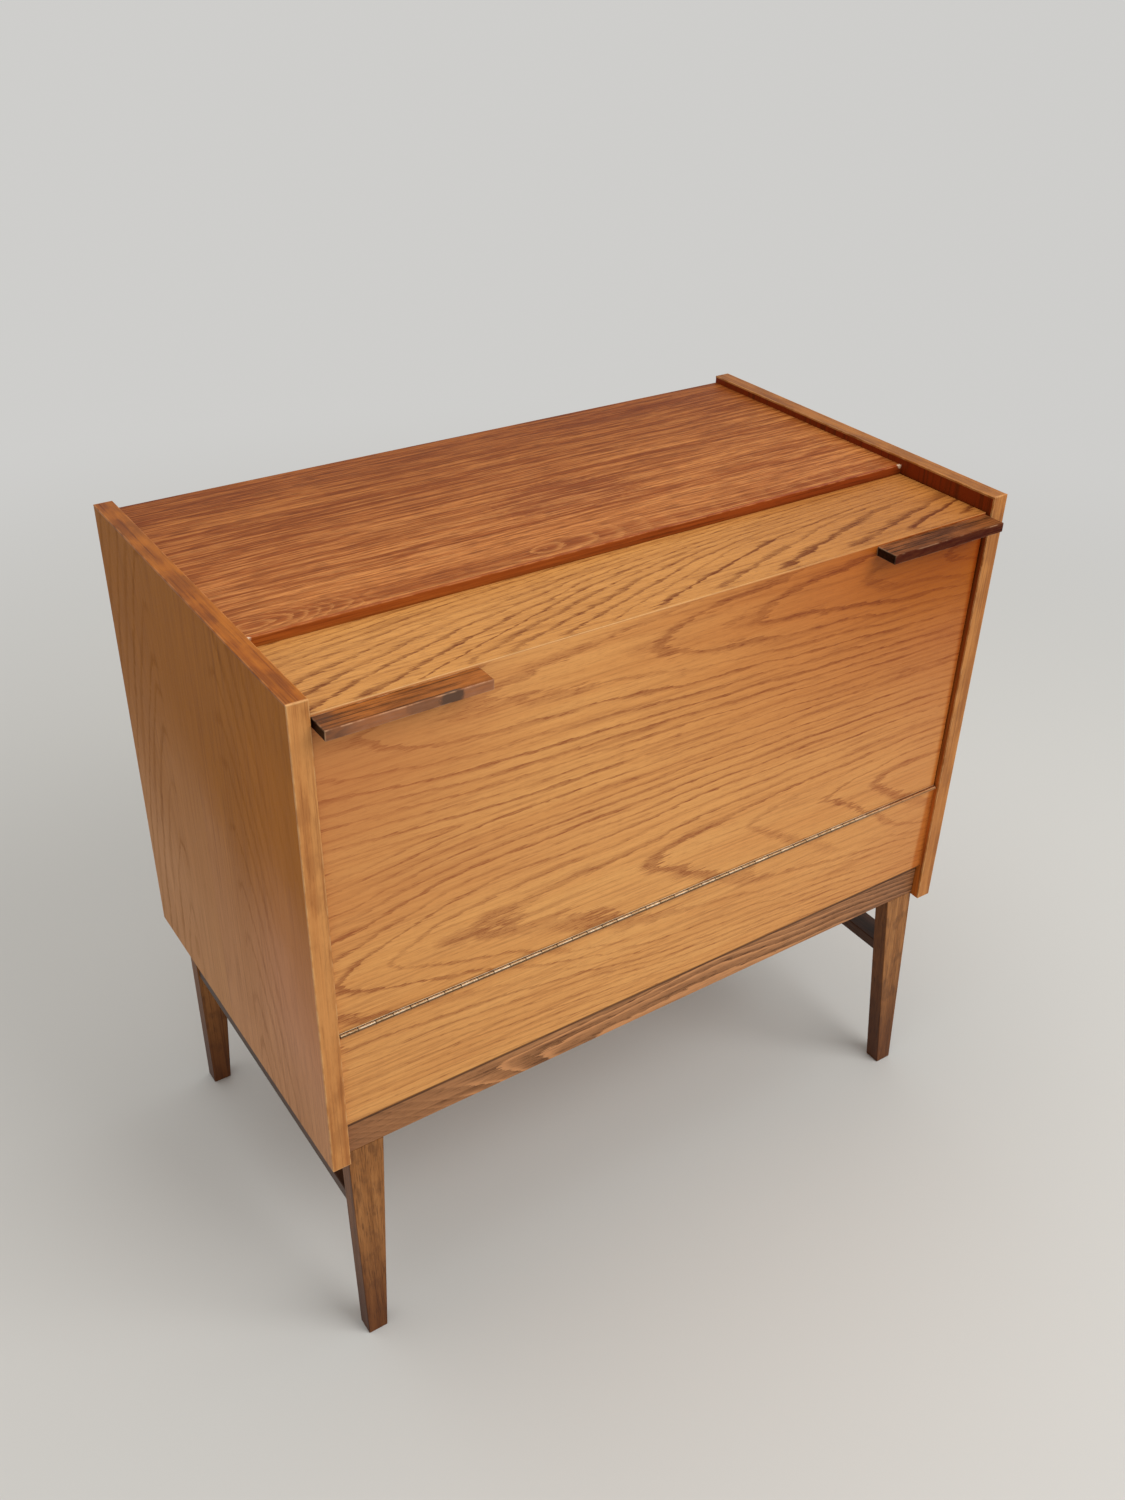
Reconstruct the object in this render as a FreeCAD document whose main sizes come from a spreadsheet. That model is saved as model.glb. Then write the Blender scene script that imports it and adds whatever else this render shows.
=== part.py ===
"""Drop-front drinks cabinet on a low stand.

Millimetres, +Z up, front towards -Y, +X to the right of someone who faces the front.
The origin lies on the floor under the middle of the whole outline, handles included.
"""
import FreeCAD, Part
import os
import re
import Sketcher
from FreeCAD import Placement, Rotation, Vector

doc = FreeCAD.newDocument("cellarette")

# ---------------------------------------------------------------- driving sizes
SIZES = (
    ("case_width", 800, "over the side panels"),
    ("case_depth", 453, "side panels, front to rear"),
    ("case_height", 520, "side panels, bottom to top"),
    ("stand_height", 259, "floor to the underside of the side panels"),
    ("side_board", 19, "thickness of the side panels"),
    ("top_board", 19, "thickness of the fixed top"),
    ("floor_board", 18, "thickness of the case floor"),
    ("front_board", 18, "thickness of the flap, its strip and the lower front"),
    ("back_board", 5, "thickness of the back"),
    ("divider_board", 16, "thickness of the divider"),
    ("edge_lipping", 2, "lippings of the side panels"),
    ("top_lipping", 4, "solid lipping on the fixed top's front edge"),
    ("arris", 0.6, "rounding of the exposed board edges"),
    ("front_recess", 6, "flap face behind the side panels' front edges"),
    ("top_drop", 8.5, "fixed top below the side panels' top"),
    ("strip_drop", 17.5, "flap strip below the side panels' top"),
    ("strip_depth", 124, "flap strip, front to rear"),
    ("lid_gap", 1.2, "between the strip and the fixed top"),
    ("hinge_drop", 358, "hinge pin below the side panels' top"),
    ("skirt_lift", 46, "lower edge of the fixed front above the side panels' underside"),
    ("flap_gap", 2, "between the flap's ends and the side panels"),
    ("handle_length", 152, ""),
    ("handle_depth", 25, "reach in front of the flap"),
    ("handle_height", 10, ""),
    ("handle_drop", 2, "handle top below the strip's top"),
    ("handle_inset", 0.5, "handle end inside the flap's end"),
    ("handle_arris", 1, ""),
    ("handle_dowel_radius", 3, ""),
    ("handle_dowel_length", 28, ""),
    ("handle_dowel_bite", 13, "length inside the handle"),
    ("handle_dowel_inset", 38, "dowel to the handle's end"),
    ("pin_radius", 1, "hinge pin"),
    ("pin_play", 0.06, "radial clearance of the pin in the knuckles"),
    ("knuckle_radius", 2, ""),
    ("knuckle_gap", 0.3, "end play between neighbouring knuckles"),
    ("knuckle_pairs", 21, "knuckles on each leaf"),
    ("barrel_set", 1.6, "pin in front of the flap's face"),
    ("leaf_board", 1, "thickness of a hinge leaf"),
    ("leaf_play", 0.4, "between the folded leaves"),
    ("leaf_reach", 15, "leaf behind the flap's face"),
    ("hinge_seat", 0.8, "chamfer that makes room for the knuckles"),
    ("hinge_screws", 8, "screws in each leaf"),
    ("hinge_screw_inset", 34, "first screw to the leaf's end"),
    ("stay_radius", 190, "middle of the curved stay, about the hinge pin"),
    ("stay_width", 12, ""),
    ("stay_board", 3, "thickness of the stay"),
    ("stay_offset", 4, "stay to the side panel"),
    ("stay_opening", 90, "degrees that the stays let the flap turn"),
    ("stay_foot_width", 18, ""),
    ("stay_foot_height", 44, ""),
    ("stay_foot_board", 2, "thickness of the stay's foot"),
    ("stop_radius", 9, "disc that stops the stay in its guide"),
    ("guide_wall", 4, "above and below the slot"),
    ("guide_cheek", 2.6, "between the slot and the inside of the case"),
    ("guide_board", 2, "thickness of the guide's ears"),
    ("guide_length", 14, "guide, front to rear"),
    ("guide_setback", 4, "guide behind the flap's inner face"),
    ("slide_play", 0.4, "stay in its guide"),
    ("open_play", 0.3, "between moving pieces and what they close on"),
    ("cleat_width", 14, ""),
    ("cleat_height", 16, ""),
    ("cleat_setback", 16, "cleat behind the flap's inner face"),
    ("cleat_shortfall", 8, "cleat short of the strip's rear edge"),
    ("catch_width", 14, ""),
    ("catch_depth", 16, ""),
    ("catch_height", 44, ""),
    ("catch_drop", 26, "catch below the cleat"),
    ("strike_board", 1.5, "thickness of the catch's strike plate"),
    ("strike_inset", 1, "strike plate inside the flap's end"),
    ("glue_block", 14, "triangular block in the flap's corner"),
    ("glue_block_inset", 70, "block end to the flap's end"),
    ("bottle_bay", 250, "clear width left of the divider"),
    ("divider_setback", 16, "divider behind the strip's rear edge"),
    ("glass_board", 6, "thickness of the glass shelf"),
    ("glass_gap", 1.5, "glass to the boards beside it"),
    ("glass_drop", 196, "glass top below the fixed top's underside"),
    ("glass_setback", 86, "glass behind the divider's front edge"),
    ("shelf_pin_radius", 3, ""),
    ("shelf_pin_reach", 11, "pin beyond the board"),
    ("shelf_pin_bite", 9, "pin inside the board"),
    ("shelf_pin_inset", 40, "pin to the glass's front or rear edge"),
    ("shelf_pin_collar", 4.5, "radius of the pin's collar"),
    ("collar_board", 1.2, "thickness of the collar"),
    ("divider_dowel_length", 24, ""),
    ("divider_dowel_inset", 50, "dowel to the divider's front or rear edge"),
    ("rebate_width", 9, "rebate for the back in each side panel"),
    ("back_inset", 2, "back inside the rear edges"),
    ("case_dowel_radius", 4, ""),
    ("case_dowel_length", 34, ""),
    ("case_dowel_bite", 12, "dowel inside a side panel"),
    ("case_dowel_inset", 45, "first dowel to the board's end"),
    ("rail_set", 10, "front rail behind the side panels' front edges"),
    ("rear_rail_set", 9, "rear rail inside the side panels' rear edges"),
    ("rail_height", 41.5, ""),
    ("rail_board", 20, "thickness of rails and legs"),
    ("stand_gap", 1.5, "stand to the inside of the side panels"),
    ("leg_head", 39, "leg width under the rail"),
    ("leg_foot", 21.5, "leg width on the floor"),
    ("leg_splay", 14.4, "forward lean of a front leg"),
    ("leg_arris", 1.2, ""),
    ("stretcher_width", 30, ""),
    ("stretcher_height", 14, ""),
    ("stretcher_lift", 176, "stretcher's underside above the floor"),
    ("stretcher_set", 2, "stretcher inside the legs' outer faces"),
    ("stand_dowel_radius", 4, ""),
    ("stand_dowel_length", 40, ""),
    ("stand_dowel_inset", 10, "dowel to the leg's edge"),
    ("stub_dowel_length", 26, "between a stretcher and its leg"),
    ("stub_dowel_bite", 11, "stub dowel inside the leg"),
    ("stub_dowel_inset", 8, "stub dowel to the stretcher's edge"),
    ("bore_lead", 1, "start of a bore in front of a sloping face"),
    ("screw_fit", 0.05, "screw or dowel in its hole"),
    ("fine_shank", 1.1, "radius of the hinge screws"),
    ("fine_head", 2.3, "head radius of the hinge screws"),
    ("fine_length", 12, ""),
    ("board_shank", 1.6, "radius of the fitting screws"),
    ("board_head", 3.1, "head radius of the fitting screws"),
    ("board_head_height", 1.4, ""),
    ("board_length", 13, "fitting screws through metal"),
    ("long_length", 24, "fitting screws through a cleat or catch"),
    ("stand_shank", 2.2, "radius of the screws that hold the case on its stand"),
    ("stand_head", 4.2, ""),
    ("stand_head_height", 3, ""),
    ("stand_length", 34, ""),
    ("stand_counterbore", 20, "depth of the hole that sinks the head"),
    ("stand_screw_spacing", 250, ""),
    ("slot_width", 0.6, "screw slot"),
    ("back_screw_inset", 40, "first screw to the back's edge"),
)

sheet = doc.addObject("Spreadsheet::Sheet", "Sizes")
for row, (alias, value, note) in enumerate(SIZES, start=1):
    sheet.set(f"A{row}", alias.replace("_", " "))
    sheet.set(f"B{row}", str(value))
    sheet.set(f"C{row}", note)
    sheet.setAlias(f"B{row}", alias)
doc.recompute()

ALIASES = {alias for alias, _, _ in SIZES}
WORD = re.compile(r"[a-z_]+")


def in_sheet(text):
    """Point each size named in an expression at its cell."""
    return WORD.sub(lambda m: f"Sizes.{m[0]}" if m[0] in ALIASES else m[0], text)


def value_of(text):
    return float(sheet.evalExpression(in_sheet(text)))


def bind(target, prop, text):
    target.setExpression(prop, in_sheet(text))


def bind_place(target, point, turn=None):
    """Place an object at three expressions, with a fixed turn."""
    target.Placement = Placement(Vector(), turn or Rotation())
    for axis, text in zip("xyz", point):
        bind(target, f"Placement.Base.{axis}", text)


# ---------------------------------------------------------------- datums
INSIDE = "(case_width / 2 - side_board)"
FLAP_HALF = f"({INSIDE} - flap_gap)"
STAND_HALF = f"({INSIDE} - stand_gap)"
FRONT = "((handle_depth - front_recess - case_depth) / 2)"
REAR = f"({FRONT} + case_depth)"
FACE = f"({FRONT} + front_recess)"
FLAP_IN = f"({FACE} + front_board)"
STRIP_REAR = f"({FACE} + strip_depth)"
TOP_FRONT = f"({STRIP_REAR} + lid_gap)"
BACK_IN = f"({REAR} - back_inset - back_board)"
CASE_TOP = "(stand_height + case_height)"
TOP_UNDER = f"({CASE_TOP} - top_drop - top_board)"
DECK = f"({CASE_TOP} - strip_drop)"
SKIRT = "(stand_height + skirt_lift)"
FLOOR_TOP = f"({SKIRT} + floor_board)"
AXIS_Y = f"({FACE} - barrel_set)"
AXIS_Z = f"({CASE_TOP} - hinge_drop)"
LEAF_HALF = "(leaf_play / 2 + leaf_board)"
RAIL_UNDER = f"({SKIRT} - rail_height)"
CLEAT_TOP = f"({DECK} - front_board - open_play)"
CLEAT_UNDER = f"({CLEAT_TOP} - cleat_height)"
DIVIDER_FRONT = f"({STRIP_REAR} + divider_setback)"
DIVIDER_LOW_X = f"(bottle_bay - {INSIDE})"
DIVIDER_HIGH_X = f"({DIVIDER_LOW_X} + divider_board)"
GLASS_TOP = f"({TOP_UNDER} - glass_drop)"
GLASS_FRONT = f"({DIVIDER_FRONT} + glass_setback)"
GLASS_REAR = f"({BACK_IN} - glass_gap)"
STAY_OUT = f"({INSIDE} - stay_offset)"
GUIDE_FRONT = f"({FLAP_IN} + guide_setback)"
GUIDE_REAR = f"({GUIDE_FRONT} + guide_length)"
REAR_RAIL_BACK = f"({REAR} - rear_rail_set)"

ALONG_X = Rotation(Vector(0, 1, 0), 90)
AGAINST_X = Rotation(Vector(0, 1, 0), -90)
ALONG_Y = Rotation(Vector(1, 0, 0), -90)
AGAINST_Y = Rotation(Vector(1, 0, 0), 90)
ALONG_Z = Rotation()
AGAINST_Z = Rotation(Vector(1, 0, 0), 180)
OUTWARD = {-1: AGAINST_X, 1: ALONG_X}
SIDES = (("left", -1), ("right", 1))

nodes = []


def span(side, inner, outer):
    """Lowest x of what reaches from inner to outer on one side of the middle."""
    return inner if side > 0 else f"-({outer})"


def on_side(side, distance):
    return f"{side} * ({distance})"


# ---------------------------------------------------------------- pieces as bodies
class Piece:
    """A body that is one piece of the cabinet, with a bound corner and its own label."""

    def __init__(self, label, corner):
        self.body = doc.addObject("PartDesign::Body", label)
        self.body.Label = label
        self.corner = corner
        bind_place(self.body, corner)
        nodes.append(self.body)

    def local(self, point):
        return [f"({p}) - ({c})" for p, c in zip(point, self.corner)]

    def feature(self, kind, point, turn=None, **sizes):
        """Add a primitive whose point is given in the cabinet's frame."""
        made = self.body.newObject(f"PartDesign::{kind}", kind)
        for prop, text in sizes.items():
            bind(made, prop, text)
        bind_place(made, self.local(point), turn)
        return made

    def hole(self, point, turn, radius, depth):
        return self.feature(
            "SubtractiveCylinder", point, turn, Radius=f"{radius} + screw_fit", Height=depth
        )

    def countersink(self, point, turn, wide, narrow, depth):
        return self.feature(
            "SubtractiveCone",
            point,
            turn,
            Radius1=f"{wide} + screw_fit",
            Radius2=f"{narrow} + screw_fit",
            Height=depth,
        )

    def ease(self, base, radius, keep):
        """Round the edges of a feature whose middle, as a share of its box, passes the test."""
        doc.recompute()
        names = edges_where(base.Shape, keep)
        made = self.body.newObject("PartDesign::Fillet", "Arris")
        made.Base = (base, names)
        bind(made, "Radius", radius)
        doc.recompute()
        return made

    def repeat(self, originals, axis_role, length, count):
        """Repeat features along an axis of the body."""
        made = self.body.newObject("PartDesign::LinearPattern", "Row")
        made.Originals = originals
        made.Direction = (origin_feature(self.body, axis_role), [""])
        bind(made, "Length", length)
        bind(made, "Occurrences", count)
        self.body.Tip = made
        return made


def origin_feature(body, role):
    return next(item for item in body.Origin.OriginFeatures if item.Role == role)


def edges_where(shape, keep):
    """Names of the straight edges whose middle point passes a test on box shares."""
    box = shape.BoundBox
    names = []
    for index, edge in enumerate(shape.Edges, start=1):
        middle = edge.CenterOfMass
        share = (
            round((middle.x - box.XMin) / box.XLength, 3),
            round((middle.y - box.YMin) / box.YLength, 3),
            round((middle.z - box.ZMin) / box.ZLength, 3),
        )
        if keep(*share):
            names.append(f"Edge{index}")
    return names


def board(label, corner, length, width, height, radius="arris", eased=None):
    """A rectangular board; eased picks the edges that are rounded."""
    piece = Piece(label, corner)
    block = piece.feature("AdditiveBox", corner, Length=length, Width=width, Height=height)
    if eased:
        piece.ease(block, radius, eased)
    return piece


def profile_piece(label, corner, half_length, points):
    """A piece with one section in the YZ plane, run along X on both sides of its corner."""
    piece = Piece(label, corner)
    sketch = piece.body.newObject("Sketcher::SketchObject", "Section")
    sketch.AttachmentSupport = (origin_feature(piece.body, "YZ_Plane"), [""])
    sketch.MapMode = "FlatFace"
    local = [piece.local(("0", y_text, z_text))[1:] for y_text, z_text in points]
    drawn = [Vector(value_of(y_text), value_of(z_text), 0) for y_text, z_text in local]
    for here, there in zip(drawn, drawn[1:] + drawn[:1]):
        sketch.addGeometry(Part.LineSegment(here, there))
    for index in range(len(points)):
        following = (index + 1) % len(points)
        sketch.addConstraint(Sketcher.Constraint("Coincident", index, 2, following, 1))
    for index, texts in enumerate(local):
        for kind, text in zip(("DistanceX", "DistanceY"), texts):
            limit = Sketcher.Constraint(kind, -1, 1, index, 1, value_of(text))
            name = f"{kind}{index}"
            sketch.renameConstraint(sketch.addConstraint(limit), name)
            bind(sketch, f"Constraints.{name}", text)
    pad = piece.body.newObject("PartDesign::Pad", "Run")
    pad.Profile = sketch
    pad.Midplane = True
    bind(pad, "Length", f"2 * ({half_length})")
    doc.recompute()
    return piece, pad


# ---------------------------------------------------------------- pieces from Part primitives
def primitive(kind, point, turn=None, **sizes):
    made = doc.addObject(f"Part::{kind}", kind)
    for prop, text in sizes.items():
        bind(made, prop, text)
    bind_place(made, point, turn)
    return made


def cut(base, tool):
    made = doc.addObject("Part::Cut", "Cut")
    made.Base = base
    made.Tool = tool
    return made


def fuse(*shapes):
    made = doc.addObject("Part::MultiFuse", "Fuse")
    made.Shapes = list(shapes)
    return made


def node(made, label):
    made.Label = label
    nodes.append(made)
    return made


def group(label, members):
    made = doc.addObject("Part::Compound", label)
    made.Links = members
    return node(made, label)


def copies(master, places):
    """Linked copies of one solid, each at a bound point with a fixed turn."""
    made = []
    for point, turn in places:
        link = doc.addObject("App::Link", "Copy")
        link.LinkedObject = master
        bind_place(link, point, turn)
        made.append(link)
    return made


def slotted_screw(shank, head, head_height, length):
    """A countersunk screw that points along +Z from the face of its head."""
    zero = ("0", "0", "0")
    cone = primitive("Cone", zero, Radius1=head, Radius2=shank, Height=head_height)
    body = primitive("Cylinder", zero, Radius=shank, Height=length)
    slot = primitive(
        "Box",
        (f"-({head})", "-slot_width / 2", "0"),
        Length=f"2 * ({head})",
        Width="slot_width",
        Height=f"({head_height}) / 3",
    )
    return cut(fuse(cone, body), slot)


def plain_dowel(radius, length):
    return primitive("Cylinder", ("0", "0", "0"), Radius=radius, Height=length)


# ---------------------------------------------------------------- fixing points
def row_of(count, low, high):
    """Evenly spaced expressions from low to high."""
    return [f"({low}) + (({high}) - ({low})) * {i} / {count - 1}" for i in range(count)]


CASE_DOWEL_YZ = {
    "case_floor": [
        (y, f"{SKIRT} + floor_board / 2")
        for y in row_of(3, f"{FLAP_IN} + case_dowel_inset", f"{BACK_IN} - case_dowel_inset")
    ],
    "top_panel": [
        (y, f"{TOP_UNDER} + top_board / 2")
        for y in row_of(3, f"{TOP_FRONT} + case_dowel_inset", f"{REAR} - case_dowel_inset")
    ],
    "lower_front_panel": [(f"{FACE} + front_board / 2", f"({SKIRT} + {AXIS_Z}) / 2")],
}
DIVIDER_DOWEL_X = f"({DIVIDER_LOW_X} + divider_board / 2)"
DIVIDER_DOWEL_Y = [
    f"{DIVIDER_FRONT} + divider_dowel_inset",
    f"{BACK_IN} - divider_dowel_inset",
]
DIVIDER_DOWEL_BITE = "(divider_dowel_length / 2)"

HANDLE_OUT = f"({FLAP_HALF} - handle_inset)"
HANDLE_DOWEL_Z = f"{DECK} - handle_drop - handle_height / 2"
HANDLE_DOWEL_X = {
    side: [
        on_side(side, f"{HANDLE_OUT} - {inset}")
        for inset in ("handle_dowel_inset", "(handle_length - handle_dowel_inset)")
    ]
    for _, side in SIDES
}

HINGE_SCREW_Y = f"({FACE} + leaf_reach / 2 + 1)"
HINGE_SCREW_X = f"(hinge_screw_inset - {FLAP_HALF})"
HINGE_SCREW_RUN = f"(2 * ({FLAP_HALF} - hinge_screw_inset))"

STAND_SCREW_X = ("-stand_screw_spacing", "0", "stand_screw_spacing")
STAND_SCREW_LIFT = "(rail_height - stand_counterbore)"
FRONT_RAIL_MID = f"({FRONT} + rail_set + rail_board / 2)"
REAR_RAIL_MID = f"({REAR_RAIL_BACK} - rail_board / 2)"

CLEAT_FRONT = f"({FLAP_IN} + cleat_setback)"
CLEAT_REAR = f"({STRIP_REAR} - cleat_shortfall)"
CATCH_UNDER = f"({CLEAT_UNDER} - catch_drop - catch_height)"
CATCH_FRONT = f"({FLAP_IN} + strike_board + open_play)"
CATCH_SCREW_Z = [f"{CATCH_UNDER} + catch_height * {share}" for share in (0.2, 0.8)]
STRIKE_WIDTH = "(catch_width - flap_gap - strike_inset)"
GUIDE_MID_Y = f"({GUIDE_FRONT} + guide_length / 2)"
GUIDE_MID_Z = f"({AXIS_Z} + sqrt(stay_radius ^ 2 - ({GUIDE_MID_Y} - {AXIS_Y}) ^ 2))"
GUIDE_HALF = "(stay_width / 2 + slide_play + guide_wall)"
GUIDE_EAR = "(2 * board_head + 2)"
PIN_Y = [f"{GLASS_FRONT} + shelf_pin_inset", f"{GLASS_REAR} - shelf_pin_inset"]
PIN_Z = f"({GLASS_TOP} - glass_board - shelf_pin_radius)"

# points on the inner face of a side panel, as y and z
CLEAT_YZ = [
    (f"{CLEAT_FRONT} + cleat_height", f"{CLEAT_TOP} - cleat_height / 2"),
    (f"{CLEAT_REAR} - cleat_height", f"{CLEAT_TOP} - cleat_height / 2"),
]
CATCH_YZ = [(f"{CATCH_FRONT} + catch_depth / 2", z) for z in CATCH_SCREW_Z]
GUIDE_YZ = [
    (GUIDE_MID_Y, f"{GUIDE_MID_Z} {sign} ({GUIDE_HALF} + {GUIDE_EAR} / 2)") for sign in "-+"
]

# points on the inner face of the flap, as x and z
STAY_FOOT_MID = f"({STAY_OUT} - stay_board - (stay_foot_width - stay_board) / 2)"
STAY_FOOT_XZ = {
    side: [
        (on_side(side, STAY_FOOT_MID), f"{AXIS_Z} + stay_radius {sign} stay_foot_height / 3")
        for sign in "-+"
    ]
    for _, side in SIDES
}
STRIKE_XZ = {
    side: [
        (on_side(side, f"{INSIDE} - catch_width + {STRIKE_WIDTH} / 2"), z) for z in CATCH_SCREW_Z
    ]
    for _, side in SIDES
}

# screws on the rear face of the back: along the case floor, and up each side rebate
BACK_FACE = f"({BACK_IN} + back_board)"
BACK_LOW = f"({SKIRT} + floor_board / 2)"
BACK_FLOOR_X = row_of(
    4, f"0 - ({INSIDE} - back_screw_inset)", f"{INSIDE} - back_screw_inset"
)
BACK_SIDE_Z = row_of(3, f"{BACK_LOW} + back_screw_inset", f"{TOP_UNDER} - back_screw_inset")
BACK_SIDE_X = {side: on_side(side, f"{INSIDE} + rebate_width / 2") for _, side in SIDES}


# ---------------------------------------------------------------- case
def side_panels():
    for name, side in SIDES:
        low_x = span(side, INSIDE, "case_width / 2")
        panel = board(
            f"{name}_side_panel",
            (low_x, f"{FRONT} + edge_lipping", "stand_height"),
            "side_board",
            "case_depth - edge_lipping",
            "case_height - edge_lipping",
            eased=lambda u, v, w: w == 0 and v != 0 or v == 1 and u in (0, 1),
        )
        panel.feature(
            "SubtractiveBox",
            (span(side, INSIDE, f"{INSIDE} + rebate_width"), BACK_IN, SKIRT),
            Length="rebate_width",
            Width="back_inset + back_board",
            Height=f"{TOP_UNDER} - {SKIRT}",
        )
        inner = on_side(side, INSIDE)
        for dowels in CASE_DOWEL_YZ.values():
            for y, z in dowels:
                panel.hole((inner, y, z), OUTWARD[side], "case_dowel_radius", "case_dowel_bite")
        for y, z in CLEAT_YZ + CATCH_YZ:
            panel.hole((inner, y, z), OUTWARD[side], "board_shank", "long_length - cleat_width")
        for y, z in GUIDE_YZ:
            panel.hole((inner, y, z), OUTWARD[side], "board_shank", "board_length - guide_board")
        for z in BACK_SIDE_Z:
            point = (BACK_SIDE_X[side], BACK_IN, z)
            panel.hole(point, AGAINST_Y, "board_shank", "board_length - back_board")
        if side > 0:
            for y in PIN_Y:
                panel.hole((inner, y, PIN_Z), OUTWARD[side], "shelf_pin_radius", "shelf_pin_bite")
        board(
            f"{name}_front_lipping",
            (low_x, FRONT, "stand_height"),
            "side_board",
            "edge_lipping",
            "case_height",
            eased=lambda u, v, w: v == 0 or w == 0 and u in (0, 1),
        )
        board(
            f"{name}_top_lipping",
            (low_x, f"{FRONT} + edge_lipping", f"{CASE_TOP} - edge_lipping"),
            "side_board",
            "case_depth - edge_lipping",
            "edge_lipping",
            eased=lambda u, v, w: w == 1 and v != 0,
        )


def top_panel():
    panel = board(
        "top_panel",
        (f"-{INSIDE}", f"{TOP_FRONT} + top_lipping", TOP_UNDER),
        f"2 * {INSIDE}",
        f"{REAR} - {TOP_FRONT} - top_lipping",
        "top_board",
        eased=lambda u, v, w: v == 1 and w in (0, 1),
    )
    bore_for_dowels(panel, "top_panel")
    for y in DIVIDER_DOWEL_Y:
        point = (DIVIDER_DOWEL_X, y, TOP_UNDER)
        panel.hole(point, ALONG_Z, "case_dowel_radius", DIVIDER_DOWEL_BITE)
    board(
        "top_panel_lipping",
        (f"-{INSIDE}", TOP_FRONT, TOP_UNDER),
        f"2 * {INSIDE}",
        "top_lipping",
        "top_board",
        eased=lambda u, v, w: v == 0 and w in (0, 1),
    )


def bore_for_dowels(panel, joint):
    """Bore a board's two ends for the dowels that join it to the side panels."""
    for y, z in CASE_DOWEL_YZ[joint]:
        for _, side in SIDES:
            panel.hole(
                (on_side(side, INSIDE), y, z),
                OUTWARD[-side],
                "case_dowel_radius",
                "case_dowel_length - case_dowel_bite",
            )


def bore_for_stand(panel, y):
    """Bore a board's underside for one rail's screws."""
    for x in STAND_SCREW_X:
        panel.hole((x, y, SKIRT), ALONG_Z, "stand_shank", f"stand_length - {STAND_SCREW_LIFT}")


def case_floor():
    panel = board(
        "case_floor",
        (f"-{INSIDE}", FLAP_IN, SKIRT),
        f"2 * {INSIDE}",
        f"{BACK_IN} - {FLAP_IN}",
        "floor_board",
    )
    bore_for_dowels(panel, "case_floor")
    for y in DIVIDER_DOWEL_Y:
        point = (DIVIDER_DOWEL_X, y, FLOOR_TOP)
        panel.hole(point, AGAINST_Z, "case_dowel_radius", DIVIDER_DOWEL_BITE)
    bore_for_stand(panel, REAR_RAIL_MID)
    for x in BACK_FLOOR_X:
        point = (x, BACK_IN, BACK_LOW)
        panel.hole(point, AGAINST_Y, "board_shank", "board_length - back_board")


def lower_front_panel():
    top = f"{AXIS_Z} - {LEAF_HALF}"
    panel, run = profile_piece(
        "lower_front_panel",
        ("0", FACE, SKIRT),
        INSIDE,
        (
            (FACE, SKIRT),
            (FLAP_IN, SKIRT),
            (FLAP_IN, top),
            (f"{FACE} + hinge_seat", top),
            (FACE, f"{top} - hinge_seat"),
        ),
    )
    panel.ease(run, "arris", lambda u, v, w: v == 0 and w == 0)
    bore_for_dowels(panel, "lower_front_panel")
    bore_for_stand(panel, FRONT_RAIL_MID)
    sink_hinge_screws(panel, top, AGAINST_Z)


def back():
    half = f"({INSIDE} + rebate_width - open_play)"
    panel = board(
        "back_panel",
        (f"-{half}", BACK_IN, SKIRT),
        f"2 * {half}",
        "back_board",
        f"{TOP_UNDER} - {SKIRT} - open_play",
    )
    points = [(x, BACK_FACE, BACK_LOW) for x in BACK_FLOOR_X]
    points += [(BACK_SIDE_X[side], BACK_FACE, z) for _, side in SIDES for z in BACK_SIDE_Z]
    for point in points:
        panel.hole(point, AGAINST_Y, "board_shank", "back_board")
        panel.countersink(point, AGAINST_Y, "board_head", "board_shank", "board_head_height")
    group("back_screws", copies(fitting_screw, [(point, AGAINST_Y) for point in points]))


def case_dowels():
    dowel = plain_dowel("case_dowel_radius", "case_dowel_length")
    group(
        "case_dowels",
        copies(
            dowel,
            [
                ((on_side(side, f"{INSIDE} + case_dowel_bite"), y, z), OUTWARD[-side])
                for _, side in SIDES
                for dowels in CASE_DOWEL_YZ.values()
                for y, z in dowels
            ],
        ),
    )


# ---------------------------------------------------------------- inside
def divider():
    panel = board(
        "divider",
        (DIVIDER_LOW_X, DIVIDER_FRONT, FLOOR_TOP),
        "divider_board",
        f"{BACK_IN} - {DIVIDER_FRONT}",
        f"{TOP_UNDER} - {FLOOR_TOP}",
        eased=lambda u, v, w: v == 0 and u in (0, 1),
    )
    for y in DIVIDER_DOWEL_Y:
        for z, turn in ((FLOOR_TOP, ALONG_Z), (TOP_UNDER, AGAINST_Z)):
            point = (DIVIDER_DOWEL_X, y, z)
            panel.hole(point, turn, "case_dowel_radius", DIVIDER_DOWEL_BITE)
    for y in PIN_Y:
        point = (DIVIDER_HIGH_X, y, PIN_Z)
        panel.hole(point, AGAINST_X, "shelf_pin_radius", "shelf_pin_bite")
    dowel = plain_dowel("case_dowel_radius", "divider_dowel_length")
    places = [
        ((DIVIDER_DOWEL_X, y, f"{z} - {DIVIDER_DOWEL_BITE}"), ALONG_Z)
        for y in DIVIDER_DOWEL_Y
        for z in (FLOOR_TOP, TOP_UNDER)
    ]
    group("divider_dowels", copies(dowel, places))


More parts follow.
